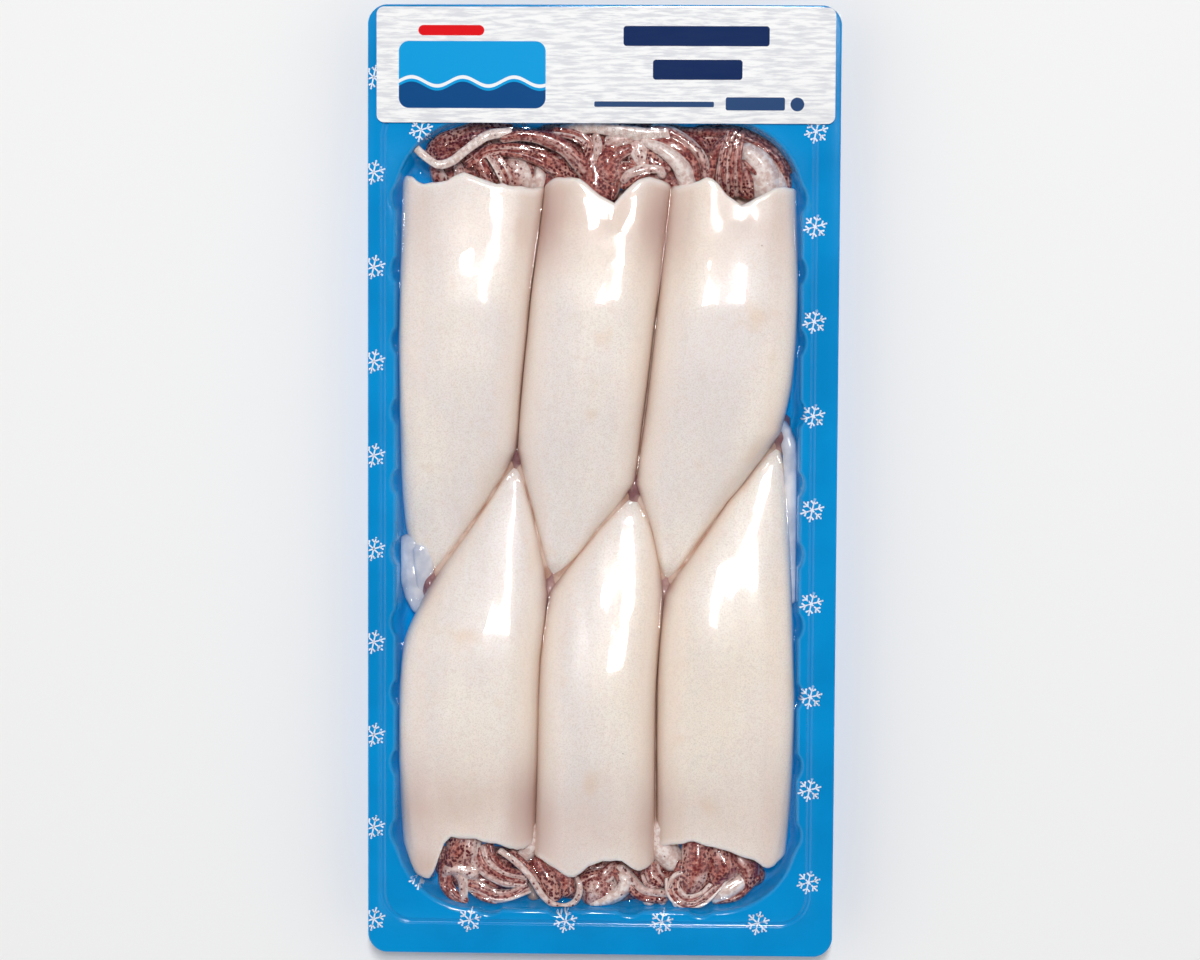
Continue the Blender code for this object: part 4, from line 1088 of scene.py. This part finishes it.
# The sheet starts flat above everything. In each round every place sinks a little below the mean
# of its neighbours, until it rests on what lies under it
film_z = np.full_like(support, support.max())
for _ in range(FILM_ROUNDS):
    around = 0.25 * (np.roll(film_z, 1, 0) + np.roll(film_z, -1, 0)
                     + np.roll(film_z, 1, 1) + np.roll(film_z, -1, 1))
    film_z = np.maximum(support, around - FILM_PULL)
    film_z[0], film_z[-1], film_z[:, 0], film_z[:, -1] = (FLANGE_TOP + FILM_GAP,) * 4

film_bm = bmesh.new()
film_grid = [[film_bm.verts.new((x, y, z)) for x, z in zip(film_x, line)]
             for y, line in zip(film_y, film_z)]
for lower, upper in zip(film_grid, film_grid[1:]):
    for column in range(FILM_COLUMNS - 1):
        film_bm.faces.new((lower[column], lower[column + 1], upper[column + 1], upper[column]))
film_mesh = mesh_from(film_bm, "clear_film", 180.0)
if film_mesh.polygons[0].normal.z < 0:
    film_mesh.flip_normals()


def freedom(place):
    """1 over the well and 0 on the flange, by the distance inside the well's rounded outline."""
    away_x = abs(place.x - WELL_CENTRE.x) - (WELL_HALF[0] - WELL_CORNER)
    away_y = abs(place.y - WELL_CENTRE.y) - (WELL_HALF[1] - WELL_CORNER)
    distance = math.hypot(max(away_x, 0.0), max(away_y, 0.0)) + min(max(away_x, away_y), 0.0)
    return smooth_step((WELL_CORNER - distance) / (1.5 * MM))


paint(film_mesh, "freedom", [freedom(vertex.co) for vertex in film_mesh.vertices])
film_finish = Finish("clear_film")
free = film_finish.painted("freedom")
creases = film_finish.noise(120.0, 2.0)
ripples = film_finish.noise(34.0, 2.0)
film_normal = film_finish.bump(ripples, 0.3, 1.2 * MM, film_finish.bump(creases, 0.5, 0.3 * MM))
shine = film_finish.node("ShaderNodeFresnel", {"IOR": 1.45, "Normal": film_normal})
clear = film_finish.node("ShaderNodeBsdfTransparent")
gloss = film_finish.node("ShaderNodeBsdfGlossy", {"Roughness": 0.05, "Normal": film_normal})
shown = shine.math("MINIMUM", shine, MOST_SHINE) * (WELDED_SHINE + (1.0 - WELDED_SHINE) * free)
mixed = film_finish.node("ShaderNodeMixShader", {0: shown, 1: clear, 2: gloss})
film_finish.tree.links.new(mixed.socket, film_finish.tree.nodes["Material Output"].inputs["Surface"])
add_piece("clear_film", film_mesh, film_finish, ["film"])


# ---- Header label: a stiff white card with a fine brushed grain, stuck across the top of the
# ---- flange. It carries plain printed fields of colour and no lettering.
label_low, label_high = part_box("header_label")
LABEL_CORNER = 2.2 * MM
LABEL_EDGE = 0.08 * MM


def card_ring(inset, height):
    """The label's rounded outline at one level."""
    ring = []
    corners = ((1, 1, 0), (-1, 1, 90), (-1, -1, 180), (1, -1, 270))
    for sign_x, sign_y, start in corners:
        x = (label_high[0] if sign_x > 0 else label_low[0]) - sign_x * LABEL_CORNER
        y = (label_high[1] if sign_y > 0 else label_low[1]) - sign_y * LABEL_CORNER
        for step in range(11):
            turn = math.radians(start + 9.0 * step)
            reach = LABEL_CORNER - inset
            ring.append((x + reach * math.cos(turn), y + reach * math.sin(turn), height))
    return ring


card_bm = bmesh.new()
loft(card_bm, [card_ring(0.0, label_low[2]), card_ring(0.0, label_high[2] - LABEL_EDGE),
               card_ring(0.3 * LABEL_EDGE, label_high[2] - 0.3 * LABEL_EDGE),
               card_ring(LABEL_EDGE, label_high[2])])
card_mesh = mesh_from(card_bm, "header_label", 30.0)

card = Finish("label_card", Specular_IOR_Level=0.12)
across = card.node("ShaderNodeSeparateXYZ", {0: card.place})
along = across["Y"]
grain = card.noise(1.0, 3.0, card.stretched((130.0, 1100.0, 1.0)), 0.6)
veins = card.noise(1.0, 3.0, card.stretched((9.0, 420.0, 1.0)), 0.6)
paper = card.layered(card.blend(grain.between(0.4, 0.62), "fbfbfb", "dedfe4"),
                     (0.4 * veins.between(0.5, 0.7), "e6e6e9"))


def panel(centre_x, centre_y, half_x, half_y, corner):
    """A mask that is 1 inside a rounded rectangle, all in millimetres."""
    out_x = abs(across - centre_x * MM) - (half_x - corner) * MM
    out_y = abs(along - centre_y * MM) - (half_y - corner) * MM
    out_x, out_y = [out.math("MAXIMUM", out, 0.0) for out in (out_x, out_y)]
    distance = across.math("SQRT", out_x * out_x + out_y * out_y)
    return 1.0 - distance.between((corner - 0.06) * MM, (corner + 0.06) * MM)


# A badge with a navy sea under a white wave, a red bar above it and dark bars beside it
rise = along - across.math("SINE", across * 420.0) * (1.3 * MM)
badge = panel(-38.4, 119.6, 21.4, 9.7, 3.0)
art = card.layered(
    paper,
    (badge, "009ee0"),
    (badge * (1.0 - rise.between(116.2 * MM, 116.3 * MM)), "004986"),
    (badge * (1.0 - abs(rise - 117.6 * MM).between(0.45 * MM, 0.55 * MM)), "f4f6f8"),
    (panel(-44.5, 132.4, 9.6, 1.5, 1.5), "e30613"),
    (panel(26.8, 130.9, 21.2, 2.9, 0.9), "00255a"),
    (panel(27.2, 121.2, 13.0, 2.9, 0.9), "00255a"),
    (panel(14.6, 111.2, 17.4, 0.8, 0.4), "2b4a78"),
    (panel(44.0, 111.4, 8.6, 1.9, 0.6), "2b4a78"),
    (panel(56.2, 111.3, 2.0, 2.0, 2.0), "2b4a78"))
card.set(Base_Color=art, Roughness=0.5 + 0.15 * grain, Normal=card.bump(grain, 0.1, 0.05 * MM))
add_piece("header_label", card_mesh, card, ["header_label"])
